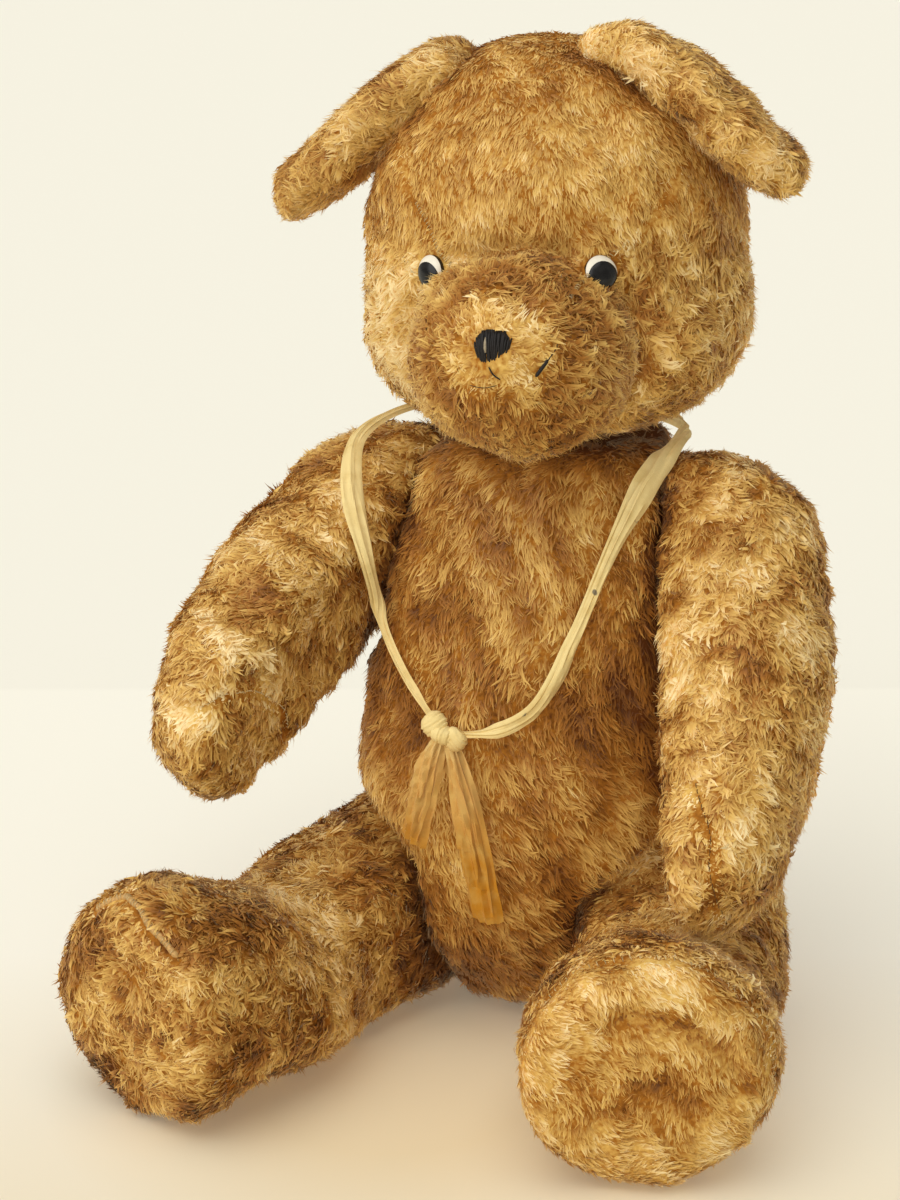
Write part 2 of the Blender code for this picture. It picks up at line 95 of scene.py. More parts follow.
# Thread radius and route of each mouth stitch that is left.
MOUTH_STITCHES = (
    (0.0009, ((0.0235, 0.0470), (0.0263, 0.051), (0.0285, 0.0542))),
    (0.0003, ((0.0281, 0.0532), (0.0302, 0.0565), (0.0314, 0.0603))),
    (0.0002, ((-0.0036, 0.0441), (0.002, 0.0432), (0.0084, 0.0444))),
)
PAW_SEAM = {
    "left": (
        (0.140, 0.0165), (0.151, 0.019), (0.170, 0.023), (0.179, 0.0215), (0.193, 0.023), (0.199, 0.026),
    ),
    "right": (
        (0.188, 0.024), (0.177, 0.0256), (0.163, 0.020), (0.147, 0.0026), (0.138, -0.015), (0.139, -0.028),
    ),
}
# The left sole's seam runs round the foot at this distance from the hip, and the right one's shows as an arc.
SOLE_SEAM = 0.203
SOLE_ARC = ((0.036, 0.073), (0.0465, 0.0589), (0.0497, 0.0415), (0.0453, 0.0241), (0.0373, 0.0076))
FOOT_FOLD = (
    (-0.034, 0.030), (-0.0325, 0.042), (-0.0277, 0.055), (-0.022, 0.068), (-0.009, 0.079), (0.0, 0.083),
)
# Middle and half axes of the muzzle in the head's frame.
MUZZLE_MIDDLE = np.array((0.003, -0.083, 0.050))
MUZZLE_REACH = np.array((0.049, 0.058, 0.043))

# Ribbon: from its knot round the neck and back, then its two ends.
RIBBON_LOOP = (
    (-0.012, -0.092, 0.168), (0.004, -0.092, 0.171), (0.020, -0.087, 0.180), (0.033, -0.077, 0.204),
    (0.043, -0.064, 0.235), (0.050, -0.047, 0.262), (0.058, -0.018, 0.286), (0.062, 0.012, 0.294),
    (0.056, 0.045, 0.292), (0.034, 0.071, 0.289), (0.000, 0.081, 0.285), (-0.036, 0.071, 0.289),
    (-0.064, 0.045, 0.294), (-0.084, 0.014, 0.295), (-0.096, -0.013, 0.289), (-0.088, -0.046, 0.275),
    (-0.070, -0.070, 0.243), (-0.065, -0.062, 0.209), (-0.048, -0.076, 0.190), (-0.026, -0.090, 0.172),
)
RIBBON_ENDS = (
    ((-0.022, -0.093, 0.165), (-0.026, -0.095, 0.152), (-0.031, -0.097, 0.130), (-0.037, -0.094, 0.108)),
    ((-0.016, -0.094, 0.164), (-0.011, -0.097, 0.152), (-0.002, -0.101, 0.115), (0.004, -0.096, 0.072)),
)
RIBBON_GAP = 0.0050
KNOT = np.array((-0.019, -0.094, 0.168))
# Each turn of the knot: its middle from the knot's, its axis, radius, length and the phase of its pleats.
KNOT_TURNS = (
    ((-0.006, -0.001, 0.005), (0.75, -0.2, -0.62), 0.0056, 0.012, 1),
    ((0.005, -0.002, -0.001), (0.55, 0.1, 0.83), 0.0052, 0.011, 2),
    ((-0.001, -0.003, 0.001), (0.9, 0.0, -0.35), 0.0046, 0.012, 4),
)


def linear(red, green, blue):
    """A display colour of 0 to 255 as scene-linear values."""
    shares = (value / 255 for value in (red, green, blue))
    return tuple(((c + 0.055) / 1.055) ** 2.4 if c > 0.04 else c / 12.92 for c in shares)


# ---------------------------------------------------------------- frames and fields

def unit(vectors):
    """Vectors brought to length 1."""
    vectors = np.asarray(vectors, dtype=float)
    return vectors / np.maximum(np.linalg.norm(vectors, axis=-1, keepdims=True), 1e-9)


def centre(node):
    """Middle of a node's box."""
    low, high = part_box(node)
    return np.array((low + high) / 2)


def corners_of(node):
    """Points of a node's mesh."""
    return arrays(frame["nodes"][node].data)[0]


def joint(label):
    """Place and axis of the joint whose name starts with the label."""
    found = next(j for j in frame["joints"] if j["name"].startswith(label))
    return np.array(found["pos_m"]), unit(found["axis"])


def limb_frame(kind, side):
    """Origin and rows (along the limb, across it, out from the torso) of an arm's or a leg's own frame."""
    limb = ("arm_" if kind == "shoulder" else "leg_") + side
    origin, axis = joint(f"{kind}_{side}")
    way = centre(limb) - origin
    out = axis if way @ axis > 0 else -axis
    along = unit(way - out * (way @ out))
    return origin, np.stack([along, np.cross(out, along), out])


def head_frame():
    """Origin and rows (left, back, up) of the head's own frame."""
    origin, axis = joint("neck")
    left = unit(centre("eye_left") - centre("eye_right"))
    up = unit(axis - left * (axis @ left))
    return origin, np.stack([left, np.cross(up, left), up])


def local(points, placed):
    """Points in a part's own frame."""
    origin, rows = placed
    return (points - origin) @ rows.T


def outward(points, placed):
    """Points of a part's own frame back in the whole bear's."""
    origin, rows = placed
    return points @ rows + origin


def waves(seed, size, count=14):
    """A smooth random field that swings between about -1 and 1 over the given size."""
    rng = np.random.default_rng(seed)
    ways = unit(rng.normal(size=(count, 3))) * (tau / size) * rng.uniform(0.6, 1.5, (count, 1))
    phases = rng.uniform(0, tau, count)
    return lambda points: np.sin(points @ ways.T + phases).sum(axis=1) / count ** 0.5


def waves_3d(seed, size, points):
    """Three such fields at the points, as a vector at each."""
    return np.stack([waves(seed + k, size)(points) for k in range(3)], axis=1)


def step(low, high, values):
    """0 at low, 1 at high and smooth between them."""
    t = np.clip((values - low) / (high - low), 0.0, 1.0)
    return t * t * (3 - 2 * t)


def bell(values, width):
    """1 where a value is 0, falling away smoothly over the width."""
    return np.exp(-(values / width) ** 2)


def near_line(points, line):
    """Distance from each point to a line of closely spaced points, and the line's nearest point."""
    nearest = np.concatenate([
        (((block[:, None, :] - line[None]) ** 2).sum(axis=2)).argmin(axis=1)
        for block in np.array_split(points, 1 + len(points) // 20000)
    ])
    return np.linalg.norm(points - line[nearest], axis=1), line[nearest]


def curve_through(rows, count, closed=False):
    """A smooth curve through rows of coordinates, as evenly spaced points."""
    rows = np.array(rows, dtype=float)
    if closed:
        rows = np.concatenate([rows[-3:], rows, rows[:3]])
    at = np.concatenate([[0.0], np.cumsum(np.linalg.norm(np.diff(rows, axis=0), axis=1))])
    slope = np.gradient(rows, at, axis=0)
    start, stop = (at[3], at[-3]) if closed else (0.0, at[-1])
    places = np.linspace(start, stop, count, endpoint=not closed)
    index = np.clip(np.searchsorted(at, places, side="right") - 1, 0, len(rows) - 2)
    span = (at[index + 1] - at[index])[:, None]
    t = (places - at[index])[:, None] / span
    t2, t3 = t * t, t * t * t
    return (
        (2 * t3 - 3 * t2 + 1) * rows[index] + (t3 - 2 * t2 + t) * slope[index] * span
        + (3 * t2 - 2 * t3) * rows[index + 1] + (t3 - t2) * slope[index + 1] * span
    )


# ---------------------------------------------------------------- meshes

def place(name, mesh, material, body):
    """An object of a mesh and a material that rides on a body."""
    item = bpy.data.objects.new(name, mesh)
    bpy.context.scene.collection.objects.link(item)
    mesh.materials.append(material)
    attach(item, body)
    return item


def quick_mesh(name, points, triangles):
    """A mesh from arrays, fast enough for a whole coat of pile."""
    mesh = bpy.data.meshes.new(name)
    mesh.vertices.add(len(points))
    mesh.vertices.foreach_set("co", np.ascontiguousarray(points, dtype=np.float32).ravel())
    mesh.loops.add(triangles.size)
    mesh.loops.foreach_set("vertex_index", np.ascontiguousarray(triangles, dtype=np.int32).ravel())
    mesh.polygons.add(len(triangles))
    mesh.polygons.foreach_set("loop_start", np.arange(len(triangles), dtype=np.int32) * 3)
    mesh.update(calc_edges=True)
    return mesh


def tube_mesh(name, routes, radius, sides=6):
    """Round threads with narrowed ends along routes, all in one mesh."""
    points, faces = [], []
    for route in routes:
        route = np.asarray(route, dtype=float)
        along = unit(np.gradient(route, axis=0))
        guide = np.array((0.3, 0.2, 0.93))
        across = unit(np.cross(along, guide))
        other = np.cross(along, across)
        first, count = len(points), len(route)
        for k in range(count):
            thin = 0.55 if k in (0, count - 1) else 1.0
            for s in range(sides):
                turn = tau * s / sides
                points.append(route[k] + radius * thin * (across[k] * cos(turn) + other[k] * sin(turn)))
        for k in range(count - 1):
            for s in range(sides):
                a, b = first + k * sides, first + (k + 1) * sides
                faces.append((a + s, a + (s + 1) % sides, b + (s + 1) % sides, b + s))
        faces.append(tuple(first + s for s in reversed(range(sides))))
        faces.append(tuple(first + (count - 1) * sides + s for s in range(sides)))
    mesh = bpy.data.meshes.new(name)
    mesh.from_pydata([tuple(p) for p in points], [], faces)
    smooth(mesh)
    return mesh


def arrays(mesh):
    """A mesh's points, normals and triangles."""
    points = np.empty(len(mesh.vertices) * 3)
    mesh.vertices.foreach_get("co", points)
    normals = np.empty(len(mesh.vertices) * 3)
    mesh.vertices.foreach_get("normal", normals)
    mesh.calc_loop_triangles()
    triangles = np.empty(len(mesh.loop_triangles) * 3, dtype=np.int32)
    mesh.loop_triangles.foreach_get("vertices", triangles)
    return points.reshape(-1, 3), normals.reshape(-1, 3), triangles.reshape(-1, 3)


def move_points(mesh, points):
    """Give a mesh's points new places."""
    mesh.vertices.foreach_set("co", np.ascontiguousarray(points, dtype=np.float32).ravel())
    mesh.update()


def point_values(mesh, name, values):
    """Keep a value at each of a mesh's points, for its material to read."""
    kept = mesh.attributes.new(name, "FLOAT", "POINT")
    kept.data.foreach_set("value", values.astype(np.float32))


def smooth(mesh):
    """Shade a mesh's faces smooth."""
    mesh.polygons.foreach_set("use_smooth", np.ones(len(mesh.polygons), dtype=bool))


def joined(name, meshes):
    """Several meshes as one."""
    shape = bmesh.new()
    for mesh in meshes:
        shape.from_mesh(mesh)
    whole = bpy.data.meshes.new(name)
    shape.to_mesh(whole)
    shape.free()
    smooth(whole)
    return whole


def apply_modifiers(item):
    """Turn an object's modifiers into plain mesh."""
    bpy.context.view_layer.update()
    ready = item.evaluated_get(bpy.context.evaluated_depsgraph_get())
    mesh = bpy.data.meshes.new_from_object(ready)
    item.modifiers.clear()
    item.data = mesh


# ---------------------------------------------------------------- materials

def new_material(name):
    """A material, its node tree and its shader."""
    material = bpy.data.materials.new(name)
    material.use_nodes = True
    return material, material.node_tree, material.node_tree.nodes["Principled BSDF"]


def shared(build):
    """A builder whose result is kept, and used again when it is called with the same first value."""
    kept = {}

    def get(*settings):
        if settings[:1] not in kept:
            kept[settings[:1]] = build(*settings)
        return kept[settings[:1]]
    return get


def add(tree, kind, **settings):
    """A new node with the settings given."""
    node = tree.nodes.new(kind)
    for key, value in settings.items():
        setattr(node, key, value)
    return node


def feed(tree, sockets, values):
    """Give each socket its value: a link from another socket, a colour or a number."""
    for socket, value in zip(sockets, values):
        if isinstance(value, bpy.types.NodeSocket):
            tree.links.new(value, socket)
        elif socket.type == "RGBA":
            socket.default_value = (*value, 1.0)
        else:
            socket.default_value = value


def calc(tree, operation, *values):
    """The result of a sum on numbers or sockets."""
    node = add(tree, "ShaderNodeMath", operation=operation)
    feed(tree, node.inputs, values)
    return node.outputs[0]


def mixed(tree, factor, first, second):
    """One colour passing into another."""
    node = add(tree, "ShaderNodeMix", data_type="RGBA")
    feed(tree, (node.inputs[0], node.inputs[6], node.inputs[7]), (factor, first, second))
    return node.outputs[2]


def ranged(tree, value, low, high, to_low=0.0, to_high=1.0):
    """A value brought from one range to another, and held within it."""
    node = add(tree, "ShaderNodeMapRange")
    feed(tree, node.inputs, (value, low, high, to_low, to_high))
    return node.outputs[0]


def object_place(tree):
    """Place on the object itself."""
    return add(tree, "ShaderNodeTexCoord").outputs["Object"]


def split(tree, vector):
    """The three parts of a vector."""
    node = add(tree, "ShaderNodeSeparateXYZ")
    tree.links.new(vector, node.inputs[0])
    return node.outputs


def colour_of(name):
    """A colour from the bear's settings."""
    return tuple(getattr(bpy.context.scene.bear, name))


def shade_of(colour, *shares):
    """A colour with its channels cut down, all by one share or each by its own."""
    return tuple(channel * share for channel, share in zip(colour, shares * (3 // len(shares))))


@shared
def mottle_group():
    """Node group: an uneven height, and a mask from From to To where the height goes from Low to High."""
    group = bpy.data.node_groups.new("mottle", "ShaderNodeTree")
    group.interface.new_socket("Place", in_out="INPUT", socket_type="NodeSocketVector")
    for label, value in (
        ("Scale", 100.0), ("Detail", 2.0), ("Low", 0.0), ("High", 1.0), ("From", 0.0), ("To", 1.0),
    ):
        socket = group.interface.new_socket(label, in_out="INPUT", socket_type="NodeSocketFloat")
        socket.default_value = value
    for label in ("Mask", "Height"):
        group.interface.new_socket(label, in_out="OUTPUT", socket_type="NodeSocketFloat")
    inside, outside = group.nodes.new("NodeGroupInput").outputs, group.nodes.new("NodeGroupOutput").inputs
    cloud = add(group, "ShaderNodeTexNoise")
    for label, socket in (("Place", "Vector"), ("Scale", "Scale"), ("Detail", "Detail")):
        group.links.new(inside[label], cloud.inputs[socket])
    mask = ranged(group, cloud.outputs[0], inside["Low"], inside["High"], inside["From"], inside["To"])
    group.links.new(mask, outside["Mask"])
    group.links.new(cloud.outputs[0], outside["Height"])
    return group


def mottle(tree, scale, detail=2.0, low=0.0, high=1.0, start=0.0, end=1.0):
    """The mottle group placed in a material with its own values: its mask and its height."""
    node = add(tree, "ShaderNodeGroup", node_tree=mottle_group())
    feed(tree, node.inputs, (object_place(tree), scale, detail, low, high, start, end))
    return node.outputs["Mask"], node.outputs["Height"]


def bumped(tree, shader, height, distance, strength):
    """Raise a shader's surface by a height."""
    node = add(tree, "ShaderNodeBump")
    node.inputs["Distance"].default_value = distance
    node.inputs["Strength"].default_value = strength
    tree.links.new(height, node.inputs["Height"])
    tree.links.new(node.outputs[0], shader.inputs["Normal"])


@shared
def pile_colours():
    """Node group: a tone from 0 to 1 read through the mohair's four colours."""
    group = bpy.data.node_groups.new("pile_colours", "ShaderNodeTree")
    tone = group.interface.new_socket("Tone", in_out="INPUT", socket_type="NodeSocketFloat")
    tone.default_value = 0.5
    for label in ("Root", "Brown", "Gold", "Straw"):
        socket = group.interface.new_socket(label, in_out="INPUT", socket_type="NodeSocketColor")
        socket.default_value = (*colour_of(label.lower() + "_colour"), 1.0)
    group.interface.new_socket("Color", in_out="OUTPUT", socket_type="NodeSocketColor")
    inside, outside = group.nodes.new("NodeGroupInput").outputs, group.nodes.new("NodeGroupOutput").inputs
    colour = inside["Root"]
    for label, low, high in (("Brown", 0.0, 0.34), ("Gold", 0.34, 0.66), ("Straw", 0.66, 1.0)):
        colour = mixed(group, ranged(group, inside["Tone"], low, high), colour, inside[label])
    group.links.new(colour, outside["Color"])
    return group


def read_pile(tree, tone):
    """The colour of a tone of pile."""
    node = add(tree, "ShaderNodeGroup", node_tree=pile_colours())
    tree.links.new(tone, node.inputs["Tone"])
    return node.outputs["Color"]


@shared
def mohair():
    """Pile: the OFBake map holds each hair's tone along U and its root-to-tip place along V."""
    material, tree, shader = new_material("mohair")
    own, height, _ = split(tree, add(tree, "ShaderNodeUVMap", uv_map="OFBake").outputs[0])
    rise = calc(tree, "MULTIPLY_ADD", height, 0.38, -0.21)
    strand = calc(tree, "MULTIPLY", calc(tree, "SINE", calc(tree, "MULTIPLY", own, 700.0)), 0.025)
    tone = calc(tree, "ADD", calc(tree, "ADD", own, rise), strand)
    tree.links.new(read_pile(tree, tone), shader.inputs["Base Color"])
    shader.inputs["Roughness"].default_value = 0.55
    shader.inputs["Specular IOR Level"].default_value = 0.28
    shader.inputs["Sheen Weight"].default_value = 0.30
    shader.inputs["Sheen Roughness"].default_value = 0.45
    shader.inputs["Sheen Tint"].default_value = (1.0, 0.80, 0.50, 1.0)
    return material


@shared
def plush_backing():
    """Woven backing with the short pile that lies close to it, in the tone of the pile over it."""
    material, tree, shader = new_material("plush_backing")
    speck, _ = mottle(tree, 420.0, low=0.25, high=0.75, start=-0.30, end=0.02)
    own = add(tree, "ShaderNodeAttribute", attribute_name="tone").outputs["Fac"]
    tree.links.new(read_pile(tree, calc(tree, "ADD", own, speck)), shader.inputs["Base Color"])
    shader.inputs["Roughness"].default_value = 0.9
    shader.inputs["Specular IOR Level"].default_value = 0.15
    return material


@shared
def thread(name, colour):
    """Twisted cotton thread, a little fluffy and uneven in colour."""
    material, tree, shader = new_material(name)
    fade, _ = mottle(tree, 900.0, low=0.3, high=0.7)
    tree.links.new(mixed(tree, fade, colour, shade_of(colour, 0.6)), shader.inputs["Base Color"])
    bumped(tree, shader, mottle(tree, 2600.0)[1], 0.0002, 0.6)
    shader.inputs["Roughness"].default_value = 0.55
    shader.inputs["Specular IOR Level"].default_value = 0.35
    return material


@shared
def ribbon_cotton():
    """Thin cream cotton: woven, stained amber towards its ends, with dark marks and soil, and painted shadow
    beside its folds.
    """
    material, tree, shader = new_material("ribbon_cotton")
    cream, height = colour_of("ribbon_colour"), split(tree, object_place(tree))[2]
    patch, _ = mottle(tree, 45.0, 3.0, 0.3, 0.7, -0.10, 0.06)
    age = calc(tree, "ADD", ranged(tree, height, 0.164, 0.10, 0.55, 1.05), patch)
    age = calc(tree, "MULTIPLY", age, ranged(tree, height, 0.172, 0.155))
    base = mixed(tree, age, cream, colour_of("ribbon_aged"))
    soil, _ = mottle(tree, 120.0, 3.0, 0.45, 0.72, 0.0, 0.45)
    base = mixed(tree, soil, base, shade_of(cream, 0.74, 0.64, 0.42))
    mark, _ = mottle(tree, 70.0, 2.0, 0.715, 0.735, 0.0, 0.75)
    base = mixed(tree, mark, base, linear(58, 62, 74))
    # Painted shadow: a brown cast beside the folds, from the strip's fourth value.
    fold = add(tree, "ShaderNodeAttribute", attribute_name="fold").outputs["Fac"]
    base = mixed(tree, calc(tree, "MULTIPLY", fold, 0.62), base, linear(126, 78, 24))
    tree.links.new(base, shader.inputs["Base Color"])
    coarse = calc(tree, "MULTIPLY", mottle(tree, 600.0)[1], 0.8)
    bumped(tree, shader, calc(tree, "ADD", mottle(tree, 3200.0, 1.0)[1], coarse), 0.0002, 0.5)
    shader.inputs["Roughness"].default_value = 0.78
    shader.inputs["Specular IOR Level"].default_value = 0.2
    shader.inputs["Sheen Weight"].default_value = 0.05
    return material


@shared
def eye_glass(name, colour, roughness):
    """Old glossy glass, faintly clouded and scuffed."""
    material, tree, shader = new_material(name)
    cloud, _ = mottle(tree, 260.0, low=0.35, high=0.75)
    base = mixed(tree, cloud, colour, tuple(c * 0.86 + 0.01 for c in colour))
    tree.links.new(base, shader.inputs["Base Color"])
    scuff, _ = mottle(tree, 260.0, low=0.3, high=0.7, start=roughness * 0.8, end=roughness * 1.3)
    tree.links.new(scuff, shader.inputs["Roughness"])
    shader.inputs["Specular IOR Level"].default_value = 0.32
    return material


@shared
def hardboard():
    """Pressed brown fibreboard."""
    material, tree, shader = new_material("hardboard")
    streak, fibre = mottle(tree, 900.0, 4.0, 0.3, 0.7)
    base = mixed(tree, streak, linear(96, 66, 40), linear(146, 108, 70))
    tree.links.new(base, shader.inputs["Base Color"])
    bumped(tree, shader, fibre, 0.0003, 0.6)
    shader.inputs["Roughness"].default_value = 0.75
    return material


@shared
def steel():
    """Dull steel with spots of rust."""
    material, tree, shader = new_material("steel")
    rust, _ = mottle(tree, 320.0, 4.0, 0.58, 0.70)
    tree.links.new(mixed(tree, rust, linear(170, 168, 164), linear(120, 72, 40)), shader.inputs["Base Color"])
    tree.links.new(calc(tree, "SUBTRACT", 1.0, rust), shader.inputs["Metallic"])
    tree.links.new(ranged(tree, rust, 0.0, 1.0, 0.34, 0.85), shader.inputs["Roughness"])
    return material


# ---------------------------------------------------------------- stuffed skins

def joint_places():
    """Every disc joint: kind, place and axis."""
    found = [("neck", *joint("neck"))]
    for side in SIDES:
        found.append(("shoulder", *joint("shoulder_" + side)))
        found.append(("hip", *joint("hip_" + side)))
    return found


def beside_joint(points, depth, radius):
    """Which points lie within a joint's disc, and no deeper than depth from its plane."""
    inside = np.zeros(len(points), dtype=bool)
    for kind, origin, axis in joint_places():
        offset = points - origin
        deep = offset @ axis
        flat = np.linalg.norm(offset - deep[:, None] * axis, axis=1)
        inside |= (flat < radius[kind]) & (np.abs(deep) < depth)
    return inside


def on_plane(points, gap=0.0011):
    """Which points lie on the plane between two parts that a joint holds together."""
    flat = np.zeros(len(points), dtype=bool)
    for _, origin, axis in joint_places():
        flat |= np.abs((points - origin) @ axis) < gap
    return flat


def stuffed_skin(name, body, size):
    """The part's outer skin: the solid without its joint pocket, evened out and smoothed."""
    shape = bmesh.new()
    shape.from_mesh(frame["nodes"][name].data)
    bmesh.ops.remove_doubles(shape, verts=shape.verts, dist=1e-5)
    points = np.array([v.co for v in shape.verts])
    hollow = beside_joint(points, POCKET_DEPTH, POCKET_RADIUS) & ~on_plane(points)
    hollow |= beside_joint(points, POCKET_DEPTH, dict.fromkeys(POCKET_RADIUS, PIN_RADIUS))
    shape.verts.ensure_lookup_table()
    bmesh.ops.delete(shape, geom=[shape.verts[i] for i in np.flatnonzero(hollow)], context="VERTS")
    bmesh.ops.holes_fill(shape, edges=shape.edges, sides=0)
    bmesh.ops.triangulate(shape, faces=shape.faces)
    bmesh.ops.recalc_face_normals(shape, faces=shape.faces)
    mesh = bpy.data.meshes.new(name + "_skin")
    shape.to_mesh(mesh)
    shape.free()
    skin = place(name + "_skin", mesh, plush_backing(), body)
    even = skin.modifiers.new("even", "REMESH")
    even.mode, even.voxel_size, even.use_smooth_shade = "VOXEL", size, True
    soft = skin.modifiers.new("soft", "SMOOTH")
    soft.factor, soft.iterations = 0.5, 7
    apply_modifiers(skin)
    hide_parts(name)
    return skin


def skin_of(name):
    """A part's skin."""
    return bpy.data.objects[name + "_skin"]


def tree_of(mesh):
    """A mesh's triangles, ready for finding the nearest point or a ray's hit."""
    points, _, triangles = arrays(mesh)
    return BVHTree.FromPolygons([tuple(p) for p in points], [tuple(t) for t in triangles.tolist()])


def laid(mesh, placed, points, plane, ray, count=40, lift=0.0):
    """A line on a part: points on two axes of its frame, cast along the third onto its mesh."""
    tree, way = tree_of(mesh), np.zeros(3)
    way[plane[2]] = ray
    line = []
    for pair in curve_through(points, count):
        start = np.zeros(3)
        start[[plane[0], plane[1]]] = pair
        start -= way * 0.4
        hit, normal, _, _ = tree.ray_cast(Vector(outward(start, placed)), Vector(way @ placed[1]))
        if hit is not None:
            line.append(np.array(hit) + np.array(normal) * lift)
    return np.array(line)


def laid_on_face(points, count=9, lift=0.0, part="head"):
    """A line on the front of the head, or of another part of it, as its solid has it."""
    return laid(frame["nodes"][part].data, head_frame(), points, (0, 2, 1), 1, count, lift)


def ring_at(name, placed, depth):
    """A closed seam round a limb, at this distance along it."""
    spot = local(arrays(skin_of(name).data)[0], placed)
    band = spot[np.abs(spot[:, 0] - depth) < 0.004]
    middle = band.mean(axis=0)
    turn = np.arctan2(band[:, 2] - middle[2], band[:, 1] - middle[1])
    rows = []
    for angle in np.arange(-180, 180, 10):
        near = np.abs((np.degrees(turn) - angle + 180) % 360 - 180) < 9
        if near.any():
            rows.append(band[near].mean(axis=0))
    return outward(curve_through(rows, 90, closed=True), placed)


def head_seams(skin):
    """The two seams of the gusset, over the face and down the back of the head."""
    placed = head_frame()
    seams = [laid(skin, placed, points, (0, 2, 1), 1) for points in HEAD_SEAMS.values()]
    for sign in (-1, 1):
        points = [(sign * across, up) for across, up in BACK_HEAD_SEAM]
        seams.append(laid(skin, placed, points, (0, 2, 1), -1))
    return seams


def seam_lines(name):
    """Sewn seams of a part, and folds in it, as lines on its skin."""
    kind, _, side = name.partition("_")
    skin = skin_of(name).data
    if name == "head":
        return head_seams(skin), []
    if name == "torso":
        return [laid(skin, (np.zeros(3), np.eye(3)), BACK_SEAM, (0, 2, 1), -1, 70)], []
    if kind == "arm":
        plane = (0, 2, 1) if side == "left" else (0, 1, 2)
        return [laid(skin, limb_frame("shoulder", side), PAW_SEAM[side], plane, 1)], []
    if kind == "leg":
        placed = limb_frame("hip", side)
        if side == "left":
            return [ring_at(name, placed, SOLE_SEAM)], [laid(skin, placed, FOOT_FOLD, (1, 2, 0), -1)]
        return [laid(skin, placed, SOLE_ARC, (1, 2, 0), -1)], []
    return [], []


def muzzle_depth(spot):
    """1 on the muzzle, rising past it over the cheeks and the forehead."""
    return np.linalg.norm((spot - MUZZLE_MIDDLE) / MUZZLE_REACH, axis=1)


def off_eyes(points):
    """1 away from both eyes, and less near them."""
    return 1 - sum(bell(np.linalg.norm(points - centre("eye_" + side), axis=1), 0.014) for side in SIDES)


def shaped(name, points, normals, seed):
    """Stuffing that has settled in lumps, with the seams and folds drawn in."""
    spot = local(points, head_frame())
    lumps = 0.0012 * waves(seed, 0.055)(points) + 0.0009 * waves(seed + 1, 0.018)(points)
    seams, folds = seam_lines(name)
    for line in seams:
        lumps -= (0.0008 if name == "head" else 0.0018) * bell(near_line(points, line)[0], 0.005)
    for line in folds:
        lumps -= 0.0060 * bell(near_line(points, line)[0], 0.007)
    if name == "head":
        depth, front = muzzle_depth(spot), step(-0.045, -0.07, spot[:, 1])
        hollow = 0.0085 * off_eyes(points) * bell(depth - 1.22, 0.09)
        lumps += front * (0.0050 * step(1.14, 0.98, depth) - hollow)
    if name.startswith("ear"):
        lumps += 0.0026
        rim = step(0.0, -0.035, spot[:, 1]) * step(0.1, -0.5, normals[:, 2])
        points = points + rim[:, None] * np.array((0.0, -0.001, -0.006))
    points = points + normals * lumps[:, None]
    points[:, 2] = np.maximum(points[:, 2], 0.0003)
    return points


# ---------------------------------------------------------------- pile

def sample(mesh, count, rng):
    """Evenly spread places on a mesh, and its normals there."""
    points, normals, triangles = arrays(mesh)
    a, b, c = points[triangles[:, 0]], points[triangles[:, 1]], points[triangles[:, 2]]
    total = np.cumsum(np.linalg.norm(np.cross(b - a, c - a), axis=1))
    picks = np.searchsorted(total, (np.arange(count) + rng.random(count)) / count * total[-1])
    picks = np.minimum(picks, len(triangles) - 1)
    s, t = rng.random((2, count))
    s, t = np.where(s + t > 1, 1 - s, s), np.where(s + t > 1, 1 - t, t)
    chosen = triangles[picks]
    shares = ((1 - s - t)[:, None], s[:, None], t[:, None])

    def blend(data):
        return sum(data[chosen[:, k]] * shares[k] for k in range(3))
    return blend(points), unit(blend(normals))


def gather(points, share, rng):
    """Split the roots into tufts: each root's tuft number and that tuft's own root."""
    count = max(8, int(len(points) * share))
    chosen = rng.choice(len(points), count, replace=False)
    tree = KDTree(count)
    for number, index in enumerate(chosen):
        tree.insert(points[index], number)
    tree.balance()
    tuft = np.array([tree.find(point)[1] for point in points])
    return tuft, points[chosen[tuft]]


def coat_of(lie, **values):
    """What the pile is like at each root.

    lie is the way it is combed. length, width and lift (off the skin) are each hair's own, and tone is its
    colour from root brown (0) to straw (1). rough is how much the tufts differ, clump how far hairs lean into
    their tuft, tufts the number of tufts for each hair, and wool the share of hairs that curl.
    """
    look = {key: np.full(len(lie), 1.0) * value for key, value in values.items()}
    look.update(lie=np.array(lie, dtype=float), kept=np.ones(len(lie), dtype=bool))
    return look


def parted(look, roots, line, width, left):
    """Pile that falls away to both sides of a sewn line and is thinner on it."""
    away, nearest = near_line(roots, line)
    close = bell(away, width)
    look["lie"] += unit(roots - nearest) * (close * 1.3)[:, None]
    look["length"] *= 1 - (1 - left) * close
    look["tone"] += 0.18 * close


def cleared(look, roots, line, bare, reach):
    """No pile within bare of a line, and short pile out to reach."""
    away, _ = near_line(roots, line)
    look["kept"] &= away > bare
    look["length"] *= 0.25 + 0.75 * step(bare, reach, away)


def round_eye(look, roots, side):
    """Pile combed off an eye above it, and standing up over its rim below."""
    middle, rows, radius, _ = eye_frame(side)
    flat = (roots - middle) @ rows[:2].T
    away = np.linalg.norm(flat, axis=1)
    near = (np.abs((roots - middle) @ rows[2]) < 0.02) & (away < 0.03)
    ring = bell(np.maximum(away - radius, 0), 0.005) * near
    below = step(0.2, -0.6, flat[:, 1] / np.maximum(away, 1e-6))
    radial = unit(flat) @ rows[:2]
    look["lie"] += radial * (ring * (1.8 - 3.1 * below))[:, None]
    look["length"] *= 1 - ring * (0.5 - 0.18 * below)
    look["lift"] += ring * below * 0.45
    # Painted shade: the pile round the top of the eye is a little darker.
    look["tone"] -= 0.05 * ring * (1 - below)
    look["kept"] &= ~(near & (away < radius * 1.04))


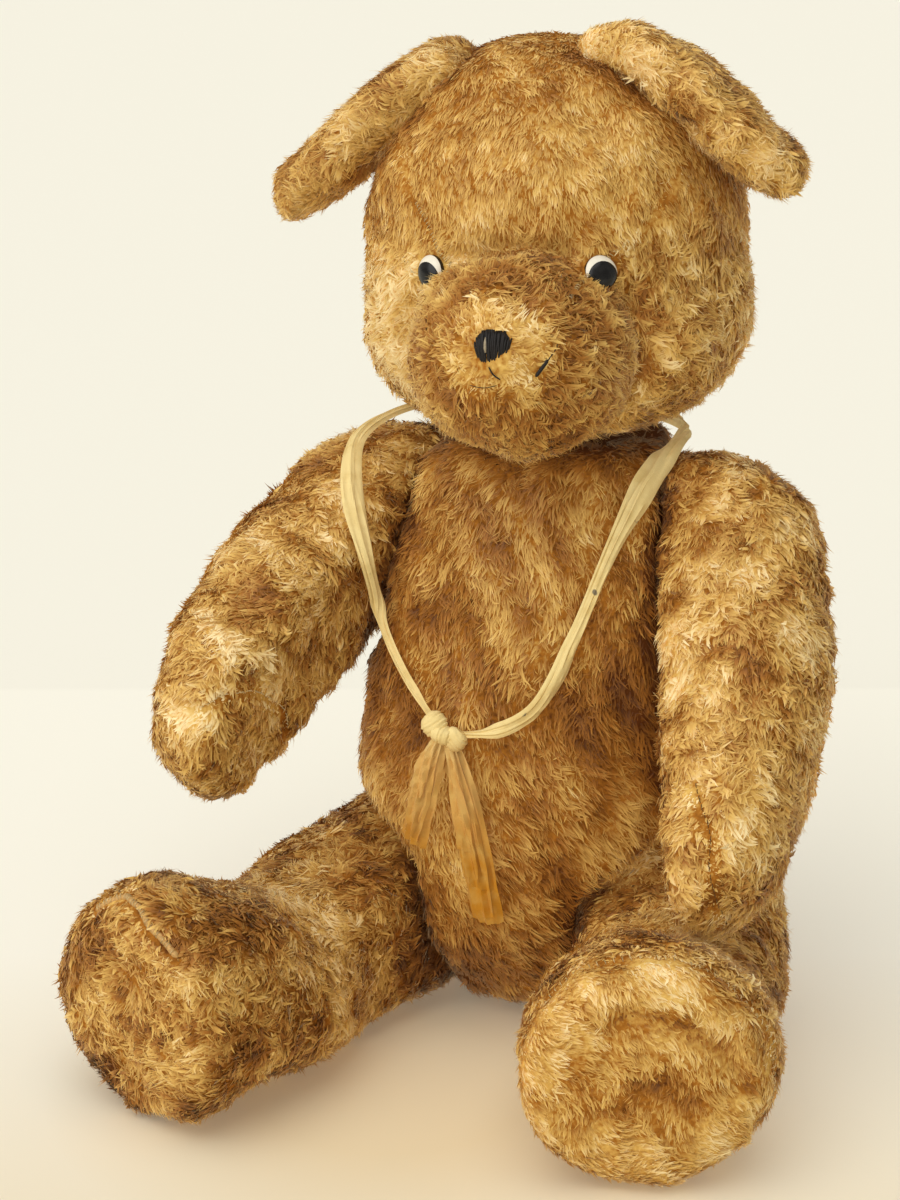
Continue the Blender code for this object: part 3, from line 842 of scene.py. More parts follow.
def shade_and_dirt_between_parts(look, roots, name, reach=0.05):
    """Pile painted darker where one stuffed part nearly meets another: painted shade with some dirt, and a
    near-black painted shadow line where the two come closest.
    """
    for other in PARTS:
        if other == name or "torso" not in (name, other) or "ear" in name or "ear" in other:
            continue
        tree = tree_of(skin_of(other).data)
        found = [tree.find_nearest(Vector(p), reach)[3] for p in roots]
        away = np.array([reach if d is None else d for d in found])
        # Painted shade: a broad darkening, and a narrow near-black painted shadow line in the gap.
        look["tone"] -= 0.13 * bell(away, 0.022) + 0.52 * bell(away, 0.008)
        look["length"] *= 1 - 0.25 * bell(away, 0.005)


def pressed(look, roots):
    """Pile that lies flat under the ribbon."""
    away, _ = near_line(roots, ribbon_route()[0][::2])
    under = bell(away, 0.010)
    look["lift"] *= 1 - 0.75 * under
    look["length"] *= 1 - 0.35 * under


def torso_coat(roots):
    """Short combed pile, darker low down and across the belly, and brushed aside below the ribbon."""
    patch, streak = waves(11, 0.09)(roots), waves(12, 0.03)(roots)
    brushed = step(-0.05, 0.05, roots[:, 0]) * step(0.24, 0.12, roots[:, 2]) * step(0.02, -0.03, roots[:, 1])
    across = 0.25 * waves(13, 0.1)(roots) + 1.1 * brushed - 0.15
    lie = np.stack([across, 0.2 * waves(14, 0.1)(roots), -np.ones(len(roots))], 1)
    low = step(0.17, 0.03, roots[:, 2])
    belly = bell(roots[:, 2] - 0.185, 0.035)
    tone = 0.45 + 0.07 * patch + 0.09 * streak - 0.08 * low - 0.15 * belly
    return coat_of(
        lie, length=0.0078, tone=tone, lift=0.30, rough=0.26, clump=0.40, width=0.00100,
        tufts=0.12, wool=0.25,
    )


def head_lie(roots, spot, from_nose, muzzle, cheek):
    """Pile combed down the head, out over the cheeks, and away from the nose on the muzzle."""
    down = np.stack([spot[:, 0] * 5.0, -0.35 * np.ones(len(spot)), -np.ones(len(spot))], 1)
    down[:, 0] += np.sign(spot[:, 0]) * cheek * 0.8
    lie = down * (1 - muzzle)[:, None] + unit(from_nose) * (muzzle * 1.5)[:, None]
    return lie + (0.25 + 0.5 * cheek[:, None]) * waves_3d(23, 0.05, roots)


def head_coat(roots):
    """Short on the forehead, woolly on the cheeks and the muzzle, and worn pale round the nose, with painted
    light on the lit right side, painted shade on the left beside the muzzle, and painted shadow under the
    ears.
    """
    placed = head_frame()
    spot = local(roots, placed)
    nose = local(centre("nose_stitching")[None], placed)[0]
    patch, streak = waves(21, 0.08)(roots), waves(22, 0.025)(roots)
    depth, front = muzzle_depth(spot), step(-0.045, -0.07, spot[:, 1])
    muzzle = step(1.18, 1.06, depth) * front
    cheek = step(0.118, 0.085, spot[:, 2]) * (1 - muzzle)
    worn = step(0.034, 0.014, np.linalg.norm(spot - nose, axis=1))
    # left is 1 on the bear's left, the side the lamps leave in shade; the painted light and shade below
    # follow it.
    left = step(-0.01, 0.03, spot[:, 0])
    # Painted shade: the cheek beside the muzzle is darker, over a wider band and most of all on the shaded
    # left side.
    beside = bell(np.maximum(depth - 1.24, 0), 0.12 + 0.24 * left) * front * (1 - muzzle) * (0.1 + 0.9 * left)
    # The muzzle is darker brown: partly real soil, and partly painted shade, as it is far less dark on the
    # lit right side.
    soil_and_shade = muzzle * (1 - worn) * (0.15 + 0.85 * step(-0.036, -0.008, spot[:, 0]))
    tone = 0.52 + 0.07 * cheek * waves(26, 0.018)(roots) + 0.06 * patch + 0.08 * streak
    # The cheeks are lighter; that they are lighter still on the lit right side is painted light.
    tone += 0.15 * worn + 0.21 * cheek * (1 - 0.65 * left) - 0.17 * beside - 0.21 * soil_and_shade
    look = coat_of(
        head_lie(roots, spot, spot - nose, muzzle, cheek) @ placed[1],
        length=0.0058 + 0.0022 * cheek + 0.0018 * muzzle - 0.0026 * worn,
        tone=tone,
        lift=0.28 + 0.18 * cheek + 0.12 * muzzle,
        rough=0.16 + 0.6 * cheek + 0.45 * muzzle,
        clump=0.35 + 0.2 * cheek + 0.15 * muzzle,
        width=0.00090 + 0.00035 * cheek + 0.00035 * muzzle,
        tufts=0.18,
        wool=0.65 * np.maximum(cheek, muzzle),
    )
    for side in SIDES:
        round_eye(look, roots, side)
        ear = tree_of(skin_of("ear_" + side).data)
        away = np.array([ear.find_nearest(Vector(p))[3] for p in roots])
        # Painted shadow: the head's pile is darker close to each ear, where the flap shades it.
        look["tone"] -= 0.24 * bell(away, 0.011)
    for _, points in MOUTH_STITCHES:
        cleared(look, roots, laid_on_face(points, 12), 0.0014, 0.007)
    pad = np.linalg.norm((spot - nose)[:, (0, 2)] / np.array((0.0080, 0.0084)), axis=1)
    look["kept"] &= ~((pad < 1.0) & (spot[:, 1] < -0.1))
    return look


def ear_coat(side):
    """Woolly pile combed outwards, worn thin and pale at the ear's root."""
    sign = 1 if side == "left" else -1

    def coat(roots):
        placed = head_frame()
        spot = local(roots, placed)
        lie = np.tile(np.array((sign * 0.9, -0.25, -0.45)) @ placed[1], (len(roots), 1))
        lie += 0.45 * waves_3d(31, 0.035, roots)
        worn = step(0.052, 0.034, sign * spot[:, 0])
        tone = 0.53 + 0.13 * waves(34, 0.03)(roots) + 0.22 * worn
        return coat_of(
            lie, length=0.0076 - 0.003 * worn, tone=tone, lift=0.42, rough=0.45, clump=0.45, width=0.0012,
            tufts=0.16, wool=0.6,
        )
    return coat


def smooth_sole(look, spot):
    """Short combed pile on the left sole, which is a flat patch of its own, paler at its rim."""
    sole = step(SOLE_SEAM - 0.004, SOLE_SEAM + 0.006, spot[:, 0])
    flat = np.linalg.norm(spot[:, 1:] - spot[sole > 0.5, 1:].mean(axis=0), axis=1)
    look["lie"] += np.array((0.9, 0.0, -0.5)) * sole[:, None]
    look["tone"] += sole * (0.13 * step(0.030, 0.046, flat) + 0.08 * step(0.0, 0.03, spot[:, 1]) - 0.06)
    for key, share in (("length", 0.22), ("lift", 0.45), ("rough", 0.6), ("width", 0.22), ("wool", 0.6)):
        look[key] *= 1 - share * sole


def limb_coat(kind, side, tone, seed):
    """Woolly, swirling pile, darker on the thighs and, on the right leg, the foot."""
    def coat(roots):
        placed = limb_frame(kind, side)
        spot = local(roots, placed)
        reach = spot[:, 0]
        lie = placed[1][0] * 0.8 + np.array((0, 0, -0.35)) + 0.75 * waves_3d(seed, 0.05, roots)
        own = 0.57 + 0.12 * waves(seed + 4, 0.045)(roots) + 0.11 * waves(seed + 5, 0.016)(roots)
        own += tone
        if (kind, side) == ("hip", "right"):
            own += 0.10 * bell(reach - 0.135, 0.03) - 0.10 * step(0.13, 0.18, reach)
        if kind == "hip":
            own -= 0.12 * step(0.11, 0.07, reach)
        look = coat_of(
            lie, length=0.0074, tone=own, lift=0.40, rough=0.55, clump=0.45, width=0.00135,
            tufts=0.20, wool=0.6,
        )
        if (kind, side) == ("hip", "left"):
            smooth_sole(look, spot)
        return look
    return coat


COATS = {
    "torso": torso_coat,
    "head": head_coat,
    "ear_left": ear_coat("left"),
    "ear_right": ear_coat("right"),
    "arm_left": limb_coat("shoulder", "left", -0.02, 41),
    "arm_right": limb_coat("shoulder", "right", -0.03, 51),
    "leg_left": limb_coat("hip", "left", -0.03, 61),
    "leg_right": limb_coat("hip", "right", -0.06, 71),
}


def tone_skin(name):
    """Give a skin the tone of the pile that grows on it."""
    mesh = skin_of(name).data
    points = arrays(mesh)[0]
    look = COATS[name](points)
    shade_and_dirt_between_parts(look, points, name)
    point_values(mesh, "tone", look["tone"])


# Hair shapes: triangles between a blade's corners, each corner's share of the length, and its side.
STRAIGHT = np.array([(0, 1, 2)]), np.array((0.02, 0.02, 0.98)), np.array((-1.0, 1.0, 0.0))
BENT = np.array([(0, 2, 1), (1, 2, 3)]), np.array((0.02, 0.48, 0.48, 0.98)), np.array((0.0, -1.0, 1.0, 0.0))
CURL = (
    np.array([(0, 2, 1), (1, 2, 4), (1, 4, 3), (3, 4, 5)]),
    np.array((0.02, 0.35, 0.35, 0.68, 0.68, 0.98)), np.array((0.0, -1.0, 1.0, -1.0, 1.0, 0.0)),
)
# Roots sown of each shape for each triangle of the part's budget. The coat's wool picks bent hairs or curls.
HAIR_SHARES = ((0.22, STRAIGHT), (0.39, BENT), (0.195, CURL))
STRAY_SHARE = 0.03
UPRIGHT_SHARE = 0.16


def coat_at(name, roots, seams, folds):
    """A part's pile at the roots, with its seams and folds in it, painted shade along the folds, and painted
    shade where parts meet.
    """
    look = COATS[name](roots)
    shade_and_dirt_between_parts(look, roots, name)
    look["length"] *= bpy.context.scene.bear.pile_length
    for line in seams:
        parted(look, roots, line, *((0.0022, 0.6) if name == "head" else (0.0045, 0.30)))
        if name == "leg_right":
            look["kept"] &= near_line(roots, line)[0] > 0.0014
    # Painted shade: the pile is darker along each fold.
    for line in folds:
        look["tone"] -= 0.26 * bell(near_line(roots, line)[0], 0.005)
    if not name.startswith("leg"):
        pressed(look, roots)
    look["kept"] &= ~beside_joint(roots, 0.0025, BARE_RADIUS)
    return look


def grow(name, body, budget, seed):
    """Cover a part's skin in pile: single hairs between tufted, curling ones."""
    rng = np.random.default_rng(seed)
    density = bpy.context.scene.bear.pile_density
    seams, folds = seam_lines(name)
    hairs, first = [], 0
    for share, shape in HAIR_SHARES:
        roots, normals = sample(skin_of(name).data, int(budget * share * density), rng)
        woolly = rng.random(len(roots)) if shape is not STRAIGHT else None
        look = coat_at(name, roots, seams, folds)
        if woolly is not None:
            look["kept"] &= (woolly < look["wool"]) == (shape is CURL)
        kept = look["kept"]
        if kept.any():
            look = {key: values[kept] for key, values in look.items()}
            points, triangles, uv, bent = hair_points(roots[kept], normals[kept], look, shape, rng)
            hairs.append((points, triangles.reshape(-1, 3) + first, uv, bent))
            first += len(points)
    points, triangles, uv, bent = (np.concatenate(rows) for rows in zip(*hairs))
    mesh = quick_mesh(name + "_pile", points, triangles)
    mesh.uv_layers.new(name="OFBake").data.foreach_set("uv", uv.astype(np.float32).ravel())
    smooth(mesh)
    mesh.normals_split_custom_set_from_vertices(bent.astype(np.float32))
    return place(name + "_pile", mesh, mohair(), body)


def hair_points(roots, normals, look, shape, rng):
    """Corners, triangles, map and normals of hairs: straight blades, bent ones or curls, drawn into tufts."""
    faces, along, spread = shape
    count = len(roots)
    tuft, heart = gather(roots, look["tufts"].mean(), rng)
    many = tuft.max() + 1
    shade, swing = rng.normal(size=many)[tuft], rng.normal(size=(many, 3))[tuft]
    curl = rng.normal(size=many)[tuft]
    apart = np.linalg.norm(roots - heart, axis=1)
    apart = apart / max(apart.mean(), 1e-6)
    lie = look["lie"] + swing * look["rough"][:, None] * 0.8 + rng.normal(size=(count, 3)) * 0.12
    lie = unit(lie - normals * (lie * normals).sum(1, keepdims=True))
    length = look["length"] * rng.uniform(0.75, 1.15, count) * (1.08 + 0.10 * shade - 0.10 * apart)
    stray = rng.random(count) < STRAY_SHARE
    lift = look["lift"] + 0.10 * swing[:, 0] + rng.normal(size=count) * 0.09 + stray * 0.3
    side = unit(np.cross(normals, lie))
    upright = rng.random(count) < UPRIGHT_SHARE
    roll = np.where(upright, rng.uniform(-1.3, 1.3, count), rng.normal(size=count) * 0.25)
    across = side * np.cos(roll)[:, None] + normals * np.sin(roll)[:, None]
    width = look["width"] * rng.uniform(0.75, 1.25, count) * np.where(stray, 0.6, 1.0)
    pull = (heart - roots) * look["clump"][:, None]
    pull -= normals * (pull * normals).sum(1, keepdims=True)
    bend = np.clip(curl * look["rough"] * 2.6, -2.2, 2.2) + rng.normal(size=count) * 0.15

    def towards(turn, rise):
        """The way of a stretch of each hair, turned along the skin and raised off it."""
        flat = lie * np.cos(turn)[:, None] + side * np.sin(turn)[:, None]
        return (flat * np.cos(rise)[:, None] + normals * np.sin(rise)[:, None]) * length[:, None]

    def beside(turn, share):
        """Half a blade's width, square to its way."""
        way = across * np.cos(turn)[:, None] - lie * np.sin(turn)[:, None]
        return way * (width * share)[:, None]

    base = roots - normals * 0.0006
    still = bend * 0
    if shape is STRAIGHT:
        tip = base + towards(still, lift) + pull
        corners = np.stack([base - beside(still, 0.5), base + beside(still, 0.5), tip], 1)
    elif shape is BENT:
        middle = base + towards(still, lift) * 0.5 + pull * 0.5
        tip = middle + towards(bend * 0.6, lift * 0.2) * 0.6 + pull * 0.4
        corners = np.stack([base, middle - beside(still, 0.6), middle + beside(still, 0.6), tip], 1)
    else:
        first = base + towards(still, lift * 1.3) * 0.34 + pull * 0.35
        second = first + towards(bend * 0.5, lift * 0.45) * 0.36 + pull * 0.35
        tip = second + towards(bend, lift * -0.35) * 0.38 + pull * 0.2
        low, high = beside(bend * 0.25, 0.55), beside(bend * 0.75, 0.5)
        corners = np.stack([base, first - low, first + low, second - high, second + high, tip], 1)
    corners[:, :, 2] = np.maximum(corners[:, :, 2], 0.0004 + 0.0006 * rng.random((count, 1)))
    size = corners.shape[1]
    triangles = (np.arange(count) * size)[:, None, None] + faces[None]
    first = corners[:, faces[0]]
    facing = np.cross(first[:, 1] - first[:, 0], first[:, 2] - first[:, 0])
    turned = (facing * normals).sum(1) < 0
    triangles[turned] = triangles[turned][:, :, ::-1]
    facing = unit(facing) * np.where(turned, -1.0, 1.0)[:, None]
    edgewise = np.sin(roll)[:, None] ** 2
    bent = unit(normals * (0.78 - 0.45 * edgewise) + facing * (0.20 + 0.60 * edgewise) + unit(lie) * 0.10)
    # shade is each tuft's own random tone. Hairs far from their tuft's heart are darker and those near it
    # lighter: painted shade between tufts and painted light on them.
    tone = look["tone"] + shade * (0.05 + 0.05 * look["rough"]) - (apart - 1) * 0.03
    tone = np.clip(tone + rng.normal(size=count) * 0.025, 0.05, 0.95)
    order = np.tile(faces[None], (count, 1, 1))
    order[turned] = order[turned][:, :, ::-1]
    u = tone[:, None, None] + spread[order] * (0.006 if shape is STRAIGHT else 0.010)
    uv = np.stack([u, along[order]], axis=-1)
    return corners.reshape(-1, 3), triangles, uv.reshape(-1, 2), np.repeat(bent, size, axis=0)


# ---------------------------------------------------------------- eyes, nose and stitches

def eye_frame(side):
    """Middle of an eye's back, rows (left, up, out), radius and height."""
    points = corners_of("eye_" + side)
    middle = points.mean(axis=0)
    out = unit(np.linalg.svd(points - middle)[2][2])
    out = out if out @ (middle - centre("head")) > 0 else -out
    up = head_frame()[1][2]
    up = unit(up - out * (up @ out))
    rows = np.stack([np.cross(up, out), up, out])
    spread = (points - middle) @ rows.T
    radius = np.linalg.norm(spread[:, :2], axis=1).max()
    return middle + out * spread[:, 2].min(), rows, radius, np.ptp(spread[:, 2])


# Rings of an eye's dome and of the black disc on it, as shares of their radius, from the rim inwards.
DOME_RINGS = (1.0, 0.99, 0.965, 0.92, 0.85, 0.75, 0.62, 0.47, 0.30, 0.14)
DISC_RINGS = (1.0, 0.985, 0.93, 0.85, 0.72, 0.55, 0.36, 0.16)
WHITE, BLACK = 0, 1


def make_eye(side, count=48):
    """A pale glass dome with a black disc painted low on it, and its rim painted black as the shadow round
    the eye.
    """
    middle, rows, radius, height = eye_frame(side)
    turns = np.linspace(0, tau, count, endpoint=False)
    circle = np.stack([np.cos(turns), np.sin(turns)], 1) * radius
    shape = bmesh.new()

    def dome(away):
        return height * (0.30 + 0.70 * np.sqrt(np.maximum(1 - (away / radius) ** 2, 0.0)) ** 1.3)

    def ring(flat, rise):
        return [shape.verts.new(Vector(middle + (*p, z) @ rows)) for p, z in zip(flat, rise)]

    def face(corners, colour):
        made = shape.faces.new(corners)
        made.material_index, made.smooth = colour, True

    def band(first, second, colour):
        for k in range(count):
            after = (k + 1) % count
            face((first[k], first[after], second[after], second[k]), colour)

    last = ring(circle, np.zeros(count))
    shape.faces.new(last[::-1]).material_index = BLACK
    for share in DOME_RINGS[1:]:
        now = ring(circle * share, np.full(count, dome(radius * share)))
        # The outermost band of the dome takes the black glass: a painted shadow round the eye's rim.
        band(last, now, BLACK if share > 0.98 else WHITE)
        last = now
    face(last, WHITE)
    last = None
    for share in DISC_RINGS:
        flat = circle * 0.94 * share - np.array((0, radius * 0.34))
        flat *= np.minimum(1.0, radius * 0.985 / np.linalg.norm(flat, axis=1))[:, None]
        raised = 0.00022 if last else -0.0002
        now = ring(flat, dome(np.linalg.norm(flat, axis=1)) + raised)
        if last:
            band(last, now, BLACK)
        last = now
    face(last, BLACK)
    mesh = bpy.data.meshes.new("eye_" + side)
    shape.to_mesh(mesh)
    shape.free()
    white = eye_glass("eye_white", colour_of("eye_white"), 0.32)
    item = place(f"eye_{side}_button", mesh, white, "head")
    mesh.materials.append(eye_glass("eye_black", colour_of("eye_black"), 0.22))
    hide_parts("eye_" + side)
    return item


def nose_routes(rng):
    """Upright rows of thread side by side over the nose, longest in its middle."""
    spot = local(corners_of("nose_stitching"), head_frame())
    low, high = spot.min(axis=0), spot.max(axis=0)
    width, middle = (high[0] - low[0]) / 2, (high[0] + low[0]) / 2
    routes = []
    for share in np.linspace(-0.94, 0.94, 19):
        top, bottom = high[2] - 0.0008 - 0.002 * share ** 2, low[2] + 0.001 + 0.004 * share ** 2
        rows = []
        for t in (0.0, 0.25, 0.5, 0.75, 1.0):
            drawn_in = 1.0 - 0.42 * t ** 1.3
            across = middle + width * (share + rng.normal() * 0.02) * drawn_in
            rows.append((across, top + (bottom - top) * t))
        routes.append(laid_on_face(rows, lift=0.0003 + 0.0004 * rng.random(), part="nose_stitching"))
    return [route for route in routes if len(route) > 3]


def make_nose():
    """Upright satin stitches over a felt core, one gone pale, with a loose end below."""
    routes = nose_routes(np.random.default_rng(8))
    pale = routes.pop(6)
    full = joined("full", [frame["nodes"]["nose_stitching"].data, tube_mesh("threads", routes, 0.00062)])
    middle = centre("nose_stitching")
    points = arrays(full)[0]
    move_points(full, middle + (points - middle) * (1.06, 1.0, 1.08))
    loose = laid_on_face(((0.005, 0.0530), (0.0065, 0.050), (0.010, 0.0470)), lift=0.0062)
    mesh = joined("nose", [full, tube_mesh("loose", [loose], 0.0004)])
    nose = place("nose_threads", mesh, thread("nose_thread", colour_of("nose_thread")), "head")
    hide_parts("nose_stitching")
    worn = tube_mesh("worn", [pale[1:5]], 0.0008)
    place("nose_worn_thread", worn, thread("worn_thread", linear(176, 160, 132)), "head")


def stitches(line, pace, length, slant, lift):
    """Short threads over a seam: across it where slant is 1, along it where slant is 0."""
    along = unit(np.gradient(line, axis=0))
    gaps = np.concatenate([[0], np.cumsum(np.linalg.norm(np.diff(line, axis=0), axis=1))])
    routes = []
    for at in np.arange(pace, gaps[-1] - pace, pace):
        k = int(np.searchsorted(gaps, at))
        way = along[k] * (1 - slant) + unit(np.cross(along[k], lift[k])) * slant
        half = unit(way) * length / 2
        top = line[k] + lift[k]
        routes.append(np.array([line[k] - half, top - half * 0.5, top + half * 0.5, line[k] + half]))
    return routes


def skin_lift(name, line, height):
    """The way off a part's skin at each point of a line, this high."""
    tree = tree_of(skin_of(name).data)
    return np.array([np.array(tree.find_nearest(Vector(p))[1]) * height for p in line])


def pale_thread():
    """The seams' thread."""
    return thread("pale_thread", colour_of("seam_thread"))


def stitch_gusset():
    """Stitching over the gusset's two seams between the eyes."""
    routes = []
    for points in HEAD_SEAMS.values():
        line = laid(skin_of("head").data, head_frame(), points[:4], (0, 2, 1), 1, 50)
        routes += stitches(line, 0.0019, 0.0026, 0.8, skin_lift("head", line, 0.0012))
    place("gusset_stitches", tube_mesh("gusset", routes, 0.00022), pale_thread(), "head")


def stitch_mouth():
    """What is left of the mouth's embroidery."""
    threads = [
        tube_mesh("mouth", [laid_on_face(points, lift=0.0058)], radius) for radius, points in MOUTH_STITCHES
    ]
    black = thread("nose_thread", colour_of("nose_thread"))
    place("mouth_stitches", joined("mouth", threads), black, "head")


def stitch_limb(name, slant, length, height, cotton):
    """Stitching along a paw's or a sole's seam."""
    line = seam_lines(name)[0][0]
    routes = stitches(line, 0.0026, length, slant, skin_lift(name, line, height))
    place(name + "_stitches", tube_mesh(name, routes, 0.00024), cotton, name)


def raise_sole_seam():
    """The pale turned edge of the right sole's seam."""
    line = seam_lines("leg_right")[0][0]
    edge = tube_mesh("edge", [line - skin_lift("leg_right", line, 0.0016) * 0.42], 0.0018, 10)
    place("leg_right_seam", edge, thread("seam_edge", linear(218, 172, 104)), "leg_right")


# ---------------------------------------------------------------- ribbon

def off_skins(points, gap):
    """Points moved out until they clear the skins round the ribbon, and the way out at each."""
    trees = [tree_of(skin_of(name).data) for name in ("torso", "head", "arm_left", "arm_right")]
    points, ways = points.copy(), np.zeros_like(points)
    for k, point in enumerate(points):
        best = (1.0, point, np.zeros(3))
        for tree in trees:
            near, normal, _, away = tree.find_nearest(Vector(point))
            near, normal = np.array(near), np.array(normal)
            away = away if (point - near) @ normal > 0 else -away
            if away < best[0]:
                best = (away, near, normal)
        ways[k] = best[2]
        if best[0] < gap:
            points[k] = best[1] + best[2] * gap
    return points, ways


def evened(rows, times=6):
    """Rows smoothed along their length, with both ends kept."""
    for _ in range(times):
        rows = rows.copy()
        rows[1:-1] = (rows[:-2] + 2 * rows[1:-1] + rows[2:]) / 4
    return rows


@shared
def ribbon_route():
    """The ribbon's middle from its knot round the neck and back, and the way out of the plush along it."""
    route = curve_through(RIBBON_LOOP, 240)
    for _ in range(3):
        route, ways = off_skins(route, RIBBON_GAP)
        route = evened(route)
    return route, unit(evened(ways, 30))


# The places across a strip where it folds over, and how many layers out it is there.
FOLDS_AT = (0, 0.22, 0.25, 0.42, 0.45, 0.62, 0.65, 0.82, 0.85, 1.0)
LAYERS_OUT = (0.0, 0.05, 0.2, 0.25, 0.4, 0.45, 0.6, 0.65, 0.8, 0.85)


def pleated(route, ways, half, seed, loose, layer, cut=None, across=37):
    """A strip folded in five along a route: its points, and at each the strength of the shadow painted beside
    its folds.

    half is its folded half width along the route, loose how far its folds wander and layer the height of the
    whole stack. cut gives the share of the route that the cloth reaches, from the place across the strip.
    """
    count = len(route)
    rng = np.random.default_rng(seed)
    along = unit(np.gradient(route, axis=0))
    out = unit(ways - along * (ways * along).sum(1, keepdims=True))
    side = np.cross(along, out)
    t, w = np.linspace(0, 1, count), np.linspace(0, 1, across)
    reach = np.ones(across) if cut is None else cut(w)

    def wander(size, places, times):
        rows = np.interp(t, np.linspace(0, 1, places), rng.normal(size=places) * size)
        return evened(rows, times) * loose

    def at(rows, index):
        return np.stack([np.interp(index, np.arange(count), rows[:, c]) for c in range(3)], 1)

    turn, inner, outer = wander(0.30, 16, 12), wander(0.22, 18, 6), wander(0.22, 22, 6)
    points = np.zeros((count, across, 4))
    for k in range(count):
        a, b = inner[k], outer[k]
        edges = (-1.0, 0.9, 0.92, a - 0.55, a - 0.57, b + 0.75, b + 0.75, -0.10 - a, -0.12 - a, 0.9 - b)
        s = np.interp(w, FOLDS_AT, edges)
        ripple = (0.0011 - 0.00075 * loose) * np.sin(s * (11 - 3 * loose) + 2.5 * a + t[k] * 9)
        ripple += 0.00020 * np.sin(s * 17 + t[k] * 21 + seed)
        rise = np.interp(w, FOLDS_AT, LAYERS_OUT) * layer + ripple + 0.0012 * (1 - s ** 2)
        index = t[k] * reach * (count - 1)
        up, across_it = at(out, index), at(side, index)
        c, d = cos(turn[k]), sin(turn[k])
        sideways, upward = across_it * c + up * d, up * c - across_it * d
        points[k, :, :3] = at(route, index) + sideways * (s * half[k])[:, None] + upward * rise[:, None]
        # Painted shadow on the layers just beside where the layer over them ends.
        middle_fold_shadow = bell(s + 0.14 + a, 0.13) * (w > 0.44) * (w < 0.56)
        edge_fold_shadow = bell(s + 0.60 - a, 0.13) * (w < 0.2)
        points[k, :, 3] = (middle_fold_shadow + edge_fold_shadow) * (1.2 - loose)
    return points


def ribbon_end(points, seed, cut, count=60):
    """One hanging end, which spreads as it falls and has its own cut."""
    route, ways = off_skins(curve_through(points, count), RIBBON_GAP + 0.0002)
    half = np.interp(np.linspace(0, 1, count), (0, 0.12, 0.6, 1), (0.0036, 0.0052, 0.0082, 0.0088))
    return pleated(evened(route, 20), evened(ways, 20), half, seed, 0.15, 0.0026, cut)


def knot_turn(middle, axis, radius, length, phase):
    """One tight turn of the knot: gathered cloth wrapped round an axis, with its pleats running round."""
    axis = unit(axis)
    side = unit(np.cross(axis, (0.2, -0.9, 0.3)))
    other = np.cross(axis, side) * 0.82
    levels, turns = np.linspace(-0.96, 0.96, 27), np.linspace(0, tau, 37)
    points = np.zeros((len(levels), len(turns), 4))
    for i, level in enumerate(levels):
        for j, turn in enumerate(turns):
            lean = level + 0.22 * sin(turn + phase)
            groove = 0.00055 * abs(sin(lean * 7.5 + 0.5 * sin(turn * 2 + phase)))
            groove += 0.0002 * sin(lean * 23 + turn) + 0.0006 * sin(turn * 2 + phase)
            swell = radius * (1 - 0.75 * abs(level) ** 3.2) + groove
            round_axis = swell * (side * cos(turn) + other * sin(turn))
            points[i, j, :3] = middle + axis * (level * length / 2) + round_axis
    return points


def sheet_faces(points, first):
    """Faces between the rows of a grid of points that are numbered from first."""
    count, across = points.shape[:2]
    k, j = np.meshgrid(np.arange(count - 1), np.arange(across - 1), indexing="ij")
    a = first + k * across + j
    return np.stack([a, a + 1, a + across + 1, a + across], -1).reshape(-1, 4)


def make_ribbon():
    """One length of cotton ribbon, gathered round the neck and tied twice, with two ends hanging."""
    route, ways = ribbon_route()
    t = np.linspace(0, 1, len(route))
    spread = 1 + 0.15 * np.sin(t * 17 + 1) + 1.1 * bell(t - 0.27, 0.05) + 0.5 * bell(t - 0.80, 0.08)
    half = bpy.context.scene.bear.ribbon_gathered / 2 * spread
    half *= np.clip(np.minimum(t, 1 - t) / 0.03, 0.55, 1.0)
    left, right = RIBBON_ENDS
    grids = [
        pleated(route, ways, half, 3, 1.0, 0.001),
        ribbon_end(left, 5, lambda w: 1 - 0.32 * step(0.60, 0.70, w) - 0.22 * np.abs(w - 0.12)),
        ribbon_end(right, 9, lambda w: (
            1 - 0.14 * step(0.42, 0.48, w) - 0.14 * step(0.80, 0.86, w) - 0.20 * np.abs(w - 0.12)
        )),
    ]
    for place_at, axis, radius, length, phase in KNOT_TURNS:
        grids.append(knot_turn(KNOT + place_at, axis, radius, length, phase))
    faces, first = [], 0
    for grid in grids:
        faces.append(sheet_faces(grid, first))
        first += grid.shape[0] * grid.shape[1]
    points = np.concatenate([grid.reshape(-1, 4) for grid in grids])
    mesh = bpy.data.meshes.new("ribbon")
    mesh.from_pydata(points[:, :3].tolist(), [], np.concatenate(faces).tolist())
    # The fourth value is the painted shadow beside the folds.
    point_values(mesh, "fold", points[:, 3])
    smooth(mesh)
    mesh.set_sharp_from_angle(angle=radians(50))
    ribbon = place("neck_ribbon_cotton", mesh, ribbon_cotton(), "torso")
    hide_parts("neck_ribbon")


# ---------------------------------------------------------------- studio

